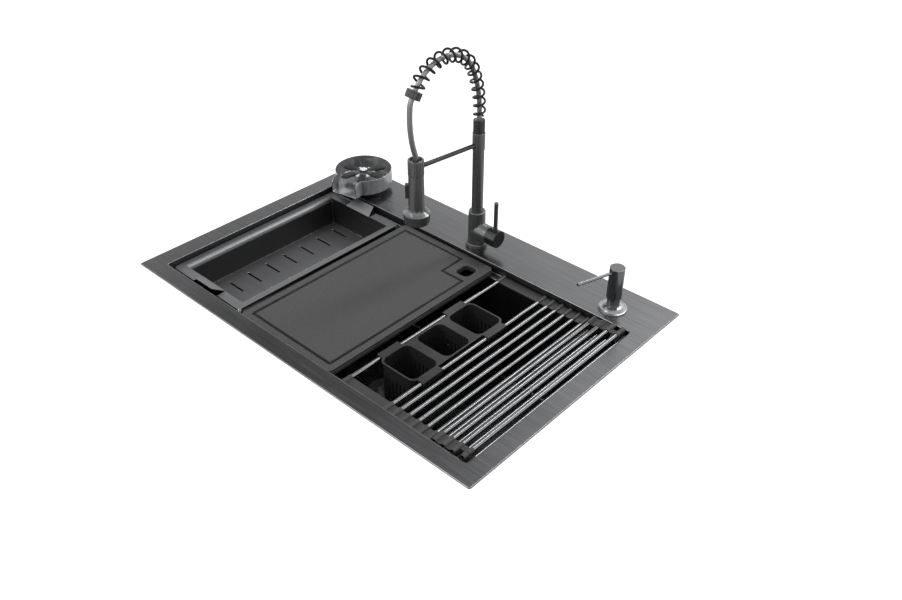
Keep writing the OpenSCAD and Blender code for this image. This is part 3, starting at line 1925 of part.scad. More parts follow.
module cup_caddy() {
    plate_w = cup_w + 2 * cup_t + caddy_rim;
    plate_d = 2 * cup_pitch + cup_d + 2 * cup_t + caddy_rim;
    rod_gap = gap_pitches * rod_pitch / 2;
    color("#2b2c2e")
        translate([caddy_x, caddy_y, caddy_top_z]) {
            difference() {
                translate([0, 0, -caddy_plate_t])
                    linear_extrude(caddy_plate_t)
                        rounded(plate_w, plate_d, cup_corner_r);
                for (k = [-1, 0, 1])
                    translate([0, k * cup_pitch, -caddy_plate_t - over])
                        linear_extrude(caddy_plate_t + 2 * over)
                            rounded(cup_w, cup_d, cup_corner_r);
            }
            for (k = [-1, 0, 1])
                translate([0, k * cup_pitch, 0])
                    cup();
            for (s = [-1, 1], k = [-1, 1])
                translate([s * rod_gap, k * cup_pitch, 0]) {
                    lug();
                    translate([s < 0 ? lug_w / 2 - over / 2 : -rod_gap + plate_w / 2 - over / 2,
                        -lug_l / 2, -caddy_plate_t])
                        cube([rod_gap - lug_w / 2 - plate_w / 2 + over, lug_l, caddy_plate_t]);
                }
        }
}

// Least gap between two curls of the spout spring, measured on its middle line
spring_line = coil_points(arch_runs, arch_start, coil_start_r, coil_end_r, coil_turns, wire_d);
curl_gaps = [for (i = [1 : len(spring_line) - 2], j = [i + curl_rings / 2 : len(spring_line) - 2])
    norm(spring_line[i] - spring_line[j]) - wire_d];
echo(least_spring_gap = min(curl_gaps));

sink_bowl();
rim_seal();
sound_pads();
clip_rails();
clip_bolts();
clip_claws();
clip_nuts();
drain_body();
drain_gasket();
drain_nut();
tailpiece();
tailpiece_nut();
strainer_basket();
deck_washers();
deck_nuts();
faucet_base_ring();
faucet_body();
faucet_shank();
supply_inlets();
cartridge();
cartridge_stem();
lever_pin();
lever_cap();
lever_rod();
spout_column();
column_sleeve();
spring_seat();
spout_spring();
spring_hose();
spring_end_cap();
docking_arm();
head_holder();
spray_head();
spray_face();
spray_hose();
spray_button();
dispenser_flange();
dispenser_shank();
dispenser_bottle();
dip_tube();
pump_barrel();
pump_stem();
pump_head();
pump_nozzle();
pump_spring();
rinser_base();
rinser_bowl();
rinser_shank();
rinser_petals();
rinser_star();
rinser_spring();
colander();
colander_feet();
cutting_board();
rack_rods();
rack_strips();
flap_rods();
flap_strips();
cup_caddy();
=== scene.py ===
import json
import math

import bmesh
import bpy
from mathutils import Matrix, Vector


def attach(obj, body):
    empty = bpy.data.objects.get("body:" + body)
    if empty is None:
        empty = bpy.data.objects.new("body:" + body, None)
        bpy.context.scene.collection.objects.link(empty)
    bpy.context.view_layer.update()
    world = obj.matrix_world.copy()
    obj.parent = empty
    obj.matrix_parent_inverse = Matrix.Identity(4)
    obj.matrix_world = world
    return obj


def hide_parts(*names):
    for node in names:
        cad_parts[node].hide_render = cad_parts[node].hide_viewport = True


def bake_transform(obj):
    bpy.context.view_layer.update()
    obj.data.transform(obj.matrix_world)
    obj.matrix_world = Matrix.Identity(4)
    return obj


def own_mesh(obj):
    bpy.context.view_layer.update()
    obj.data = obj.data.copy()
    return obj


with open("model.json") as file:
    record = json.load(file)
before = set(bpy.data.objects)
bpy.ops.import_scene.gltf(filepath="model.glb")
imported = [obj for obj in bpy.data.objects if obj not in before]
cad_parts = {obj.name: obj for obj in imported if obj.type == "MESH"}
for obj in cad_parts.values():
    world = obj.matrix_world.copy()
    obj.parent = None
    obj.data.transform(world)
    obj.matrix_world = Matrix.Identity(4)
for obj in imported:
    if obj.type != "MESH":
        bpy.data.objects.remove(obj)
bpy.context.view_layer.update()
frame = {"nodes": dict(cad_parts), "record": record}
mm = 0.001

# height of the flange top over the worktop, in mm
deckZ = 2

slotOf = {part["node"]: part["material_slot"] for part in frame["record"]["subparts"]}
bodyOf = {n: body for body, members in frame["record"]["behaviour"]["bodies"].items() for n in members}


# Node helpers
def feed(tree, socket, value):
    # a plain number is written into the socket, and another node's socket is linked to it
    if isinstance(value, (int, float)):
        socket.default_value = value
    else:
        tree.links.new(value, socket)


def mathNode(tree, kind, a, b=None):
    node = tree.nodes.new("ShaderNodeMath")
    node.operation = kind
    feed(tree, node.inputs[0], a)
    if b is not None:
        feed(tree, node.inputs[1], b)
    return node.outputs[0]


def rangeNode(tree, value, low, high, source=None):
    # a straight line over 0 to 1, or a soft step between the two ends of the source
    node = tree.nodes.new("ShaderNodeMapRange")
    ends = {"Value": value, "To Min": low, "To Max": high}
    if source:
        node.interpolation_type = "SMOOTHSTEP"
        ends["From Min"], ends["From Max"] = source
    for label, end in ends.items():
        feed(tree, node.inputs[label], end)
    return node.outputs["Result"]


def mixNode(tree, share, a, b):
    node = tree.nodes.new("ShaderNodeMix")
    node.data_type = "RGBA"
    tree.links.new(share, node.inputs["Factor"])
    for socket, colour in ((node.inputs[6], a), (node.inputs[7], b)):
        tree.links.new(colour, socket)
    return node.outputs[2]


def noiseNode(tree, vector, scale, detail):
    node = tree.nodes.new("ShaderNodeTexNoise")
    tree.links.new(vector, node.inputs["Vector"])
    node.inputs["Detail"].default_value = detail
    feed(tree, node.inputs["Scale"], scale)
    return node.outputs["Fac"]


def objectPlace(tree, stretch=None):
    place = tree.nodes.new("ShaderNodeTexCoord").outputs["Object"]
    if stretch is None:
        return place
    mapping = tree.nodes.new("ShaderNodeMapping")
    tree.links.new(place, mapping.inputs["Vector"])
    tree.links.new(stretch, mapping.inputs["Scale"])
    return mapping.outputs["Vector"]


def startGroup(name, inputs, outputs):
    group = bpy.data.node_groups.new(name, "ShaderNodeTree")
    for side, sockets in (("INPUT", inputs), ("OUTPUT", outputs)):
        for label, kind in sockets.items():
            group.interface.new_socket(label, in_out=side, socket_type="NodeSocket" + kind)
    given = group.nodes.new("NodeGroupInput").outputs
    out = group.nodes.new("NodeGroupOutput").inputs
    return group, given, out


# Effects shared by the finishes
skinOutputs = {"Colour": "Color", "Roughness": "Float", "Height": "Float"}

brushedSet = {
    "detail": 3,
    "cloudScale": 9.0,
    # how much scratches and clouds weigh in the tone, and the spread that it is stretched over
    "strokeShare": 0.7,
    "cloudShare": 0.3,
    "spread": (-0.6, 1.6),
}


def makeBrushed(settings):
    # long fine scratches, and the soft cloudiness that fingers leave on satin metal
    group, given, out = startGroup(
        "brushedSatin",
        {"Dark": "Color", "Light": "Color", "Stretch": "Vector", "Smooth": "Float", "Rough": "Float"},
        skinOutputs,
    )
    strokes = noiseNode(group, objectPlace(group, given["Stretch"]), 1.0, settings["detail"])
    clouds = noiseNode(group, objectPlace(group), settings["cloudScale"], settings["detail"])
    share = mathNode(
        group, "ADD",
        mathNode(group, "MULTIPLY", strokes, settings["strokeShare"]),
        mathNode(group, "MULTIPLY", clouds, settings["cloudShare"]),
    )
    spread = rangeNode(group, share, *settings["spread"])
    feed(group, out["Colour"], mixNode(group, spread, given["Dark"], given["Light"]))
    feed(group, out["Roughness"], rangeNode(group, spread, given["Smooth"], given["Rough"]))
    feed(group, out["Height"], strokes)
    return group


speckledSet = {
    "details": (1, 2),
    # scale of the coarse flecks to the fine ones, softness of their edges, and roughness
    "coarser": 0.4,
    "soft": 0.12,
    "roughness": (0.5, 0.72),
}


def makeSpeckled(settings):
    # pale flecks of two sizes pressed into a dark composite
    group, given, out = startGroup(
        "pressedFlecks",
        {"Ground": "Color", "Fleck": "Color", "Size": "Float", "Share": "Float"},
        skinOutputs,
    )
    place = objectPlace(group)
    coarser = mathNode(group, "MULTIPLY", given["Size"], settings["coarser"])
    fine, coarse = (
        noiseNode(group, place, scale, detail)
        for scale, detail in zip((given["Size"], coarser), settings["details"])
    )
    limit = mathNode(group, "ADD", given["Share"], settings["soft"])
    mask = rangeNode(group, mathNode(group, "MAXIMUM", fine, coarse), 0, 1, (given["Share"], limit))
    feed(group, out["Colour"], mixNode(group, mask, given["Ground"], given["Fleck"]))
    feed(group, out["Roughness"], rangeNode(group, fine, *settings["roughness"]))
    feed(group, out["Height"], fine)
    return group


mouldedSet = {"pebbleDetail": 1, "bloomDetail": 3, "bloomScale": 14.0, "spread": (-0.4, 1.4)}


def makeMoulded(settings):
    # the fine pebble of a mould, with a dull bloom where it is handled
    group, given, out = startGroup(
        "mouldedSkin",
        {"Dark": "Color", "Light": "Color", "Size": "Float", "Smooth": "Float", "Rough": "Float"},
        skinOutputs,
    )
    place = objectPlace(group)
    pebble = noiseNode(group, place, given["Size"], settings["pebbleDetail"])
    bloom = noiseNode(group, place, settings["bloomScale"], settings["bloomDetail"])
    share = rangeNode(group, bloom, *settings["spread"])
    feed(group, out["Colour"], mixNode(group, share, given["Dark"], given["Light"]))
    feed(group, out["Roughness"], rangeNode(group, bloom, given["Smooth"], given["Rough"]))
    feed(group, out["Height"], pebble)
    return group


def makeBraided():
    # two sets of strands wound round a hose, crossing over and under
    group, given, out = startGroup(
        "woundBraid",
        {"Gap": "Color", "Strand": "Color", "Strands": "Float", "Pitch": "Float"},
        {"Colour": "Color", "Height": "Float"},
    )
    split = group.nodes.new("ShaderNodeSeparateXYZ")
    feed(group, split.inputs[0], group.nodes.new("ShaderNodeTexCoord").outputs["UV"])
    counts = [
        mathNode(group, "MULTIPLY", split.outputs[axis], given[label])
        for axis, label in (("X", "Strands"), ("Y", "Pitch"))
    ]
    around, along = (mathNode(group, "MULTIPLY", count, 2 * math.pi) for count in counts)
    left = mathNode(group, "SINE", mathNode(group, "ADD", around, along))
    right = mathNode(group, "SINE", mathNode(group, "SUBTRACT", around, along))
    lifted = rangeNode(group, mathNode(group, "MAXIMUM", left, right), 0, 1)
    feed(group, out["Colour"], mixNode(group, lifted, given["Gap"], given["Strand"]))
    feed(group, out["Height"], lifted)
    return group


brushed = makeBrushed(brushedSet)
speckled = makeSpeckled(speckledSet)
moulded = makeMoulded(mouldedSet)
braided = makeBraided()

# height of each effect's relief, in metres
reliefs = {"scratches": 0.00005, "pebble": 0.00008, "flecks": 0.0001, "braid": 0.0003}

# how cool the greys are: green and blue over red
greenShare = 1.01
blueShare = 1.035


def grey(level):
    return (level, level * greenShare, level * blueShare, 1)


def startFinish(name, group, values, bump, depth, **constants):
    material = bpy.data.materials.new(name)
    material.use_nodes = True
    tree = material.node_tree
    shader = tree.nodes["Principled BSDF"]
    effect = tree.nodes.new("ShaderNodeGroup")
    effect.node_tree = group
    for label, value in values.items():
        effect.inputs[label].default_value = value
    tree.links.new(effect.outputs["Colour"], shader.inputs["Base Color"])
    if "Roughness" in effect.outputs:
        tree.links.new(effect.outputs["Roughness"], shader.inputs["Roughness"])
    if bump:
        relief = tree.nodes.new("ShaderNodeBump")
        relief.inputs["Strength"].default_value = bump
        relief.inputs["Distance"].default_value = depth
        tree.links.new(effect.outputs["Height"], relief.inputs["Height"])
        tree.links.new(relief.outputs["Normal"], shader.inputs["Normal"])
    for label, value in constants.items():
        shader.inputs[label.replace("_", " ")].default_value = value
    return material


def satinMetal(name, tone, stretch, sheen, bump=0.12, metal=1.0, rim=0.6):
    values = {
        "Dark": grey(tone[0]), "Light": grey(tone[1]), "Stretch": stretch,
        "Smooth": sheen[0], "Rough": sheen[1],
    }
    return startFinish(
        name, brushed, values, bump, reliefs["scratches"], Metallic=metal, Specular_Tint=(rim, rim, rim, 1),
    )


def mouldedFinish(name, tone, sheen, size=1400.0, bump=0.1, **constants):
    values = {
        "Dark": grey(tone[0]), "Light": grey(tone[1]), "Size": size,
        "Smooth": sheen[0], "Rough": sheen[1],
    }
    return startFinish(name, moulded, values, bump, reliefs["pebble"], **constants)


# scale of the scratches along X, Y and Z
alongDeck = (9, 420, 420)
alongX = (5, 700, 700)
alongY = (700, 5, 700)
roundZ = (260, 260, 18)
roundBowl = (120, 120, 18)

# one finish for each material slot: darkest and lightest grey, scratches, smoothest and roughest
finishes = {
    "dark_steel": satinMetal("gunmetalSteel", (0.125, 0.16), alongDeck, (0.22, 0.3), 0.06, metal=0.96),
    "dark_metal": satinMetal("gunmetalCoat", (0.1, 0.13), roundZ, (0.2, 0.28), 0.03, metal=0.6),
    "plain_steel": satinMetal("plainSteel", (0.35, 0.5), roundZ, (0.25, 0.35)),
    "zinc_steel": satinMetal("zincPlate", (0.4, 0.55), roundZ, (0.35, 0.5)),
    "chrome": satinMetal("brightChrome", (0.55, 0.65), roundZ, (0.06, 0.12), 0.02),
    "colander_steel": satinMetal(
        "colanderSteel", (0.15, 0.185), alongX, (0.44, 0.54), 0.06, metal=0.97, rim=0.5,
    ),
    "rod_steel": satinMetal("rodSteel", (0.12, 0.15), alongY, (0.09, 0.12), 0),
    "black_rubber": mouldedFinish("blackRubber", (0.006, 0.012), (0.45, 0.6)),
    "white_plastic": mouldedFinish("whitePlastic", (0.62, 0.7), (0.35, 0.45)),
    "caddy": mouldedFinish("caddyPlastic", (0.018, 0.03), (0.22, 0.34)),
    "petal_plastic": mouldedFinish("petalPlastic", (0.012, 0.02), (0.4, 0.5), Specular_IOR_Level=0.3),
    "face_plastic": mouldedFinish("sprayFacePlastic", (0.07, 0.1), (0.4, 0.55)),
    "board": startFinish(
        "speckledBoard", speckled,
        {"Ground": grey(0.036), "Fleck": grey(0.05), "Size": 900.0, "Share": 0.5},
        0.15, reliefs["flecks"], Specular_IOR_Level=0.35,
    ),
    "hose": startFinish(
        "braidedHose", braided,
        {"Gap": grey(0.06), "Strand": grey(0.3), "Strands": 12.0, "Pitch": 180.0},
        0.4, reliefs["braid"], Metallic=0.7, Roughness=0.38,
    ),
    "brass": startFinish(
        "turnedBrass", brushed,
        {
            "Dark": (0.42, 0.28, 0.1, 1), "Light": (0.6, 0.42, 0.18, 1), "Stretch": roundZ,
            "Smooth": 0.25, "Rough": 0.4,
        },
        0.1, reliefs["scratches"], Metallic=1.0,
    ),
}

# finishes of single pieces, and of their bends, edges and walls, some of them painted highlight and painted
# shade
springCoat = satinMetal("springCoat", (0.012, 0.02), roundZ, (0.35, 0.45), 0, metal=0.3, rim=0.2)
# painted shade: a darker copy of the gunmetal coat, on the spring's cap and seat, the lever cap and the
# docking arm
shadeCoat = satinMetal("shadeCoat", (0.035, 0.05), roundZ, (0.18, 0.25), 0.03, metal=0.8)
rinserSteel = satinMetal("polishedDarkSteel", (0.32, 0.38), roundBowl, (0.16, 0.24), 0.01, metal=0.7, rim=0.7)
pumpSteel = satinMetal("pumpSteel", (0.13, 0.15), roundZ, (0.12, 0.14), 0, metal=0.9, rim=0.7)
footSteel = satinMetal("dispenserFootSteel", (0.2, 0.22), roundZ, (0.24, 0.26), 0, rim=0.8)
# painted reflection: the chrome star plate drawn as near-white, hardly metallic steel
plateSteelShine = satinMetal("starPlateSteelShine", (0.85, 0.92), roundZ, (0.25, 0.35), 0, metal=0.1, rim=0.8)
# painted highlight: pale steel on the colander's pressed corners and filled inner corners
bendHighlightSteel = satinMetal("paintedBendHighlight", (0.5, 0.6), alongX, (0.34, 0.44), 0, metal=0.6)
# painted highlight: paler steel on the colander's broken edges
lipHighlightSteel = satinMetal("paintedLipHighlight", (0.3, 0.4), alongX, (0.3, 0.4), 0, metal=0.7)
# painted shade: dark steel on the sink's edges, filled corners and walls, and on the colander's walls
edgeSteel = satinMetal("shadedEdgeSteel", (0.03, 0.04), alongX, (0.3, 0.4), 0)
wallSteel = satinMetal("shadedWallSteel", (0.06, 0.08), alongX, (0.34, 0.44), 0.06, metal=0.97, rim=0.5)
# painted shade: a darker board finish in the groove's filled corners and on its floor
boardGrooveShade = mouldedFinish("boardGrooveShade", (0.02, 0.03), (0.2, 0.3), 900.0, 0.05)
# painted highlight: a paler board finish on the board's broken edges
boardEdgeHighlight = mouldedFinish("boardEdgeHighlight", (0.11, 0.15), (0.3, 0.4), 900.0, 0.05)
grooveFloorShade = mouldedFinish(
    "grooveFloorShade", (0.003, 0.006), (0.4, 0.5), 900.0, 0.05, Specular_IOR_Level=0.2,
)
print("finishes ready")


# Piece helpers

# angle over which an edge stays crisp in the shading, in degrees
creases = {"cad": 40, "swept": 50, "moulded": 35}


def dress(item, material):
    item.data.materials.clear()
    item.data.materials.append(material)


def finishNew(item, node, material=None, body=None):
    dress(item, material or finishes[slotOf[node]])
    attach(item, body or bodyOf[node])
    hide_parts(node)


def newPiece(name, bm):
    mesh = bpy.data.meshes.new(name)
    bm.to_mesh(mesh)
    bm.free()
    item = bpy.data.objects.new(name, mesh)
    bpy.context.scene.collection.objects.link(item)
    return item


def shadeSmooth(item, crease):
    item.data.shade_smooth()
    item.data.set_sharp_from_angle(angle=math.radians(crease))
    return item


def nodeBox(node):
    corners = [frame["nodes"][node].matrix_world @ Vector(c) for c in frame["nodes"][node].bound_box]
    low = Vector([min(c[k] for c in corners) for k in range(3)])
    high = Vector([max(c[k] for c in corners) for k in range(3)])
    return low, high


def bevelled(bm, edges, width, segments):
    return bmesh.ops.bevel(
        bm, geom=edges, offset=width * mm, offset_type="OFFSET", affect="EDGES",
        segments=segments, profile=0.5, material=-1, clamp_overlap=True,
    )["faces"]


# CAD parts with their edges broken, as polished metal and moulded plastic have them
edgeSet = {
    # corners closer than this are one, in metres, and faces flatter than this are one, in degrees
    "weld": 0.000004,
    "flat": 0.6,
    # angle over which an edge is broken, and the steps of a filled corner and of a broken edge
    "sharp": 32,
    "coveSegments": 3,
    "edgeSegments": 2,
}
markSet = {
    # the colander's foot: slope of its pressed corners, and their height in mm
    "footSlope": (0.45, 0.9),
    "footHeight": 9,
    # how far a face turns to both sides in an upright corner, and how little it turns up
    "corner": 0.4,
    "upright": 0.5,
    "colanderWall": 0.6,
    # the floor of the board's groove, which gets painted shade, and how far it lies under the top, in mm
    "level": 0.99,
    "grooveDepth": (1.5, 4),
}
ownFinish = {
    "rinserBowl": rinserSteel, "rinserBase": rinserSteel, "dispenserFlange": footSteel,
    "pumpHead": pumpSteel, "pumpNozzle": pumpSteel, "springEndCap": shadeCoat, "leverCap": shadeCoat,
    "springSeat": shadeCoat, "dockingArm": shadeCoat,
}
# finishes of the filled inner corners, the broken outer edges and the marked faces, in this order, mostly
# painted highlight and painted shade
coveSlot, edgeSlot, markSlot = 1, 2, 3
faceFinishSets = {
    "colanderTray": (bendHighlightSteel, lipHighlightSteel, wallSteel),
    "rinserBowl": (rinserSteel, footSteel),
    "cuttingBoard": (boardGrooveShade, boardEdgeHighlight, grooveFloorShade),
    "sinkBowl": (wallSteel, edgeSteel, wallSteel),
}
softEdges = {
    # name: node, width of the broken outer edges and of the filled inner corners, in mm
    "sinkBowl": ("sink_bowl", 0.5, 0.6),
    "faucetBaseRing": ("faucet_base_ring", 0.5),
    "faucetBody": ("faucet_body", 0.6),
    "leverCap": ("lever_cap", 0.5),
    "leverRod": ("lever_rod", 0.5),
    "spoutColumn": ("spout_column", 0.5),
    "columnSleeve": ("column_sleeve", 0.4),
    "springSeat": ("spring_seat", 0.2),
    "springEndCap": ("spring_end_cap", 0.3),
    "dockingArm": ("docking_arm", 0.3),
    "headHolder": ("head_holder", 0.3),
    "sprayHead": ("spray_head", 0.4),
    "sprayButton": ("spray_button", 0.6),
    "dispenserFlange": ("dispenser_flange", 0.5),
    "pumpHead": ("pump_head", 0.5),
    "pumpNozzle": ("pump_nozzle", 0.3),
    "rinserBase": ("rinser_base", 0.5),
    "rinserBowl": ("rinser_bowl", 0.5, 1.5),
    "rinserStar": ("rinser_star", 0.4),
    "colanderTray": ("colander", 0.3, 2.0),
    "cuttingBoard": ("cutting_board", 1.2, 2.2),
    "rackRods": ("rack_rods", 0.3),
    "flapRods": ("flap_rods", 0.3),
    "rackStrips": ("rack_strips", 0.4),
    "flapStrips": ("flap_strips", 0.4),
    "cupCaddy": ("cup_caddy", 0.5),
    "strainerBasket": ("strainer_basket", 0.3),
    "drainBody": ("drain_body", 0.3),
}


def breakEdges(bm, width, segments, inner, slot):
    crisp = [
        e for e in bm.edges
        if len(e.link_faces) == 2
        and e.calc_face_angle(0) > math.radians(edgeSet["sharp"])
        and e.is_convex != inner
    ]
    for face in bevelled(bm, crisp, width, segments):
        face.material_index = slot


def colanderSlot(n, height):
    # its pressed and upright corners get a painted highlight, and its walls painted shade
    low, high = markSet["footSlope"]
    foot = low < n.z < high and height < markSet["footHeight"] * mm
    upright = min(abs(n.x), abs(n.y)) > markSet["corner"] and abs(n.z) < markSet["upright"]
    if foot or upright:
        return coveSlot
    return markSlot if n.z < markSet["colanderWall"] else 0


def markFaces(bm, name):
    # painted highlight on the colander's corners and painted shade on its walls, on the sink's walls and on
    # the floor of the board's groove
    low = min(v.co.z for v in bm.verts)
    high = max(v.co.z for v in bm.verts)
    top, bottom = (high - depth * mm for depth in markSet["grooveDepth"])
    for face in bm.faces:
        n, z = face.normal, face.calc_center_median().z
        untouched = not face.material_index
        if name == "colanderTray" and untouched:
            face.material_index = colanderSlot(n, z - low)
        if name == "sinkBowl" and untouched and abs(n.z) < markSet["upright"]:
            face.material_index = markSlot
        if name == "cuttingBoard" and n.z > markSet["level"] and bottom < z < top:
            face.material_index = markSlot


def softened(name, node, edge, cove=0):
    bm = bmesh.new()
    bm.from_mesh(frame["nodes"][node].data)
    bmesh.ops.remove_doubles(bm, verts=bm.verts, dist=edgeSet["weld"])
    flat = math.radians(edgeSet["flat"])
    bmesh.ops.dissolve_limit(bm, angle_limit=flat, verts=bm.verts, edges=bm.edges)
    if cove:
        breakEdges(bm, cove, edgeSet["coveSegments"], True, coveSlot)
    breakEdges(bm, edge, edgeSet["edgeSegments"], False, edgeSlot)
    if name in faceFinishSets:
        markFaces(bm, name)
    item = newPiece(name, bm)
    # finishNew clears which finish each face has, so that is kept here and put back
    keptSlots = [face.material_index for face in item.data.polygons]
    shadeSmooth(item, creases["cad"])
    even = item.modifiers.new("evenFaces", "WEIGHTED_NORMAL")
    even.keep_sharp = True
    even.weight = 100
    finishNew(item, node, ownFinish.get(name))
    if name in faceFinishSets:
        for material in faceFinishSets[name]:
            item.data.materials.append(material)
        item.data.polygons.foreach_set("material_index", keptSlots)


for nodeName, item in frame["nodes"].items():
    dress(item, finishes[slotOf[nodeName]])
print("CAD parts dressed")

for pieceName, (node, *widths) in softEdges.items():
    softened(pieceName, node, *widths)
print("edges broken on", len(softEdges), "parts")


# Hoses and springs of the spout, along the same runs of length and turn as the CAD ones, in mm
spoutSet = {
    "foot": (4.5, 206.5),
    "turn": -97.3,
    "springFrom": 264,
    "runs": [(16, 0), (85, 23), (57, 52), (47, 40), (55, 35)],
    "capLength": 14,
    "reach": 146,
    "neckTop": 229,
}
springSet = {"start": 9.8, "end": 12.4, "curls": 15, "wire": 4.2, "steps": 28, "sides": 12}
hoseSet = {
    "radius": 5,
    "innerRadius": 4.5,
    "sides": 24,
    "step": 4,
    # the free hose leaves the cap straight, drops, bows back and straightens over the head
    "lead": 2,
    "topRadius": 30,
    "drop": 84,
    "lean": 17,
    "lowRadius": 30,
    # how long its two stiff end pieces are: points at the cap, and mm over the head
    "stiffPoints": 3,
    "stiffEnd": 10,
}


def advance(place, run, s):
    x, z, heading = place
    turn = -run[1] * s / run[0]
    bend = abs(math.radians(turn))
    chord = s if turn == 0 else 2 * s / bend * math.sin(bend / 2)
    middle = math.radians(heading + turn / 2)
    return (x + chord * math.cos(middle), z + chord * math.sin(middle), heading + turn)


def placeAt(runs, place, s):
    for run in runs[:-1]:
        if s <= run[0]:
            return advance(place, run, s)
        place = advance(place, run, run[0])
        s -= run[0]
    return advance(place, runs[-1], s)


def lengthOf(runs):
    return sum(run[0] for run in runs)


def toSpout(x, y, z):
    # from the plane of the arch, with x out of the column, to the frame
    a = math.radians(spoutSet["turn"])
    footX, footY = spoutSet["foot"]
    outX = x * math.cos(a) - y * math.sin(a)
    outY = x * math.sin(a) + y * math.cos(a)
    return Vector((footX + outX, footY + outY, deckZ + z)) * mm


def sweptPiece(name, points, radius, sides):
    # a tube round a line of points, with a UV map that runs round and along it in metres
    bm = bmesh.new()
    rings = []
    across = None
    for k, point in enumerate(points):
        ahead = (points[min(k + 1, len(points) - 1)] - points[max(k - 1, 0)]).normalized()
        if across is None:
            across = ahead.orthogonal()
        across = (across - across.dot(ahead) * ahead).normalized()
        facing = Matrix((across, ahead.cross(across), ahead)).transposed().to_4x4()
        ring = bmesh.ops.create_circle(
            bm, segments=sides, radius=radius * mm, matrix=Matrix.Translation(point) @ facing,
        )["verts"]
        if rings:
            a, b = rings[-1], ring
            for j in range(sides):
                bm.faces.new((a[j], a[(j + 1) % sides], b[(j + 1) % sides], b[j]))
        rings.append(ring)
    bm.faces.new(rings[0])
    bm.faces.new(rings[-1])
    run = [0.0]
    for a, b in zip(points, points[1:]):
        run.append(run[-1] + (b - a).length)
    place = {v: (j, run[k]) for k, ring in enumerate(rings) for j, v in enumerate(ring)}
    uv = bm.loops.layers.uv.new("UVMap")
    for face in bm.faces:
        steps = [place[loop.vert][0] for loop in face.loops]
        wraps = max(steps) - min(steps) > 1
        for loop, step in zip(face.loops, steps):
            u = (sides if wraps and step == 0 else step) / sides
            loop[uv].uv = (u, place[loop.vert][1])
    bmesh.ops.recalc_face_normals(bm, faces=bm.faces)
    return shadeSmooth(newPiece(name, bm), creases["swept"])


def coilPoints(runs, start, settings):
    # a helix round the runs, which widens from its start to its end and clears both by one wire
    whole = lengthOf(runs)
    wire = settings["wire"]
    count = settings["curls"] * settings["steps"]
    points = []
    for k in range(count + 1):
        s = wire + (whole - 2 * wire) * k / count
        a = 2 * math.pi * k / settings["steps"]
        x, z, heading = placeAt(runs, start, s)
        h = math.radians(heading)
        r = settings["start"] + (settings["end"] - settings["start"]) * s / whole
        out = r * math.cos(a)
        points.append(toSpout(x - out * math.sin(h), -r * math.sin(a), z + out * math.cos(h)))
    return points


def routePoints(runs, start):
    whole = lengthOf(runs)
    count = math.ceil(whole / hoseSet["step"])
    places = [placeAt(runs, start, whole * k / count) for k in range(count + 1)]
    return [toSpout(x, 0, z) for x, z, heading in places]


def freeRuns(start, settings):
    # the middle bend is as wide as it takes to end over the head
    drop, lean = math.radians(settings["drop"]), math.radians(settings["lean"])
    dropTurn = start[2] + settings["drop"]
    bowTurn = 90 + settings["lean"] - settings["drop"]
    dropOut = settings["topRadius"] * (math.sin(math.radians(start[2])) + math.sin(drop))
    leanBack = settings["lowRadius"] * (1 - math.cos(lean))
    bowRadius = (start[0] + dropOut - leanBack - spoutSet["reach"]) / (math.sin(drop) - math.cos(lean))
    bends = [
        (settings["topRadius"] * math.radians(dropTurn), dropTurn),
        (bowRadius * math.radians(bowTurn), bowTurn),
        (settings["lowRadius"] * lean, -settings["lean"]),
    ]
    foot = placeAt(bends, start, lengthOf(bends))
    return bends + [(foot[1] - spoutSet["neckTop"], 0)]


archStart = (0, spoutSet["springFrom"], 90)
archEnd = placeAt(spoutSet["runs"], archStart, lengthOf(spoutSet["runs"]))
capEnd = advance(archEnd, (spoutSet["capLength"], 0), spoutSet["capLength"])
hoseStart = advance(capEnd, (hoseSet["lead"], 0), hoseSet["lead"])

coil = coilPoints(spoutSet["runs"], archStart, springSet)
spoutSpring = sweptPiece("spoutSpring", coil, springSet["wire"] / 2, springSet["sides"])
finishNew(spoutSpring, "spout_spring", springCoat)

inner = routePoints(spoutSet["runs"], archStart)
finishNew(sweptPiece("springHose", inner, hoseSet["innerRadius"], hoseSet["sides"]), "spring_hose")

free = [toSpout(capEnd[0], 0, capEnd[1])] + routePoints(freeRuns(hoseStart, hoseSet), hoseStart)
sprayHose = sweptPiece("sprayHose", free, hoseSet["radius"], hoseSet["sides"])
dress(sprayHose, finishes["hose"])
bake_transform(sprayHose)
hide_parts("spray_hose")
print("hoses and spout spring wound")


# Return springs: each stands on a fixed seat, in mm
returnSprings = {
    "pumpReturnSpring": {
        "node": "pump_spring", "joint": "pump_press", "radius": 7.4, "wire": 1.0, "curls": 8, "travel": 14,
    },
    "rinserReturnSpring": {
        "node": "rinser_spring", "joint": "rinser_press", "radius": 8.6, "wire": 0.8, "curls": 4, "travel": 5,
    },
}
returnSteps = 24
returnSides = 10


def makeReturnSpring(name, settings):
    low, high = nodeBox(settings["node"])
    middle = (low + high) / 2
    wire, radius = settings["wire"] * mm, settings["radius"] * mm
    rise = high.z - low.z - wire
    count = settings["curls"] * returnSteps
    line = []
    for k in range(count + 1):
        a = 2 * math.pi * k / returnSteps
        x, y = radius * math.cos(a), radius * math.sin(a)
        line.append(Vector((middle.x + x, middle.y + y, low.z + wire / 2 + rise * k / count)))
    spring = sweptPiece(name, line, settings["wire"] / 2, returnSides)
    finishNew(spring, settings["node"], None, "sink")
    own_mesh(spring)


for pieceName, settings in returnSprings.items():
    makeReturnSpring(pieceName, settings)
print("return springs wound")


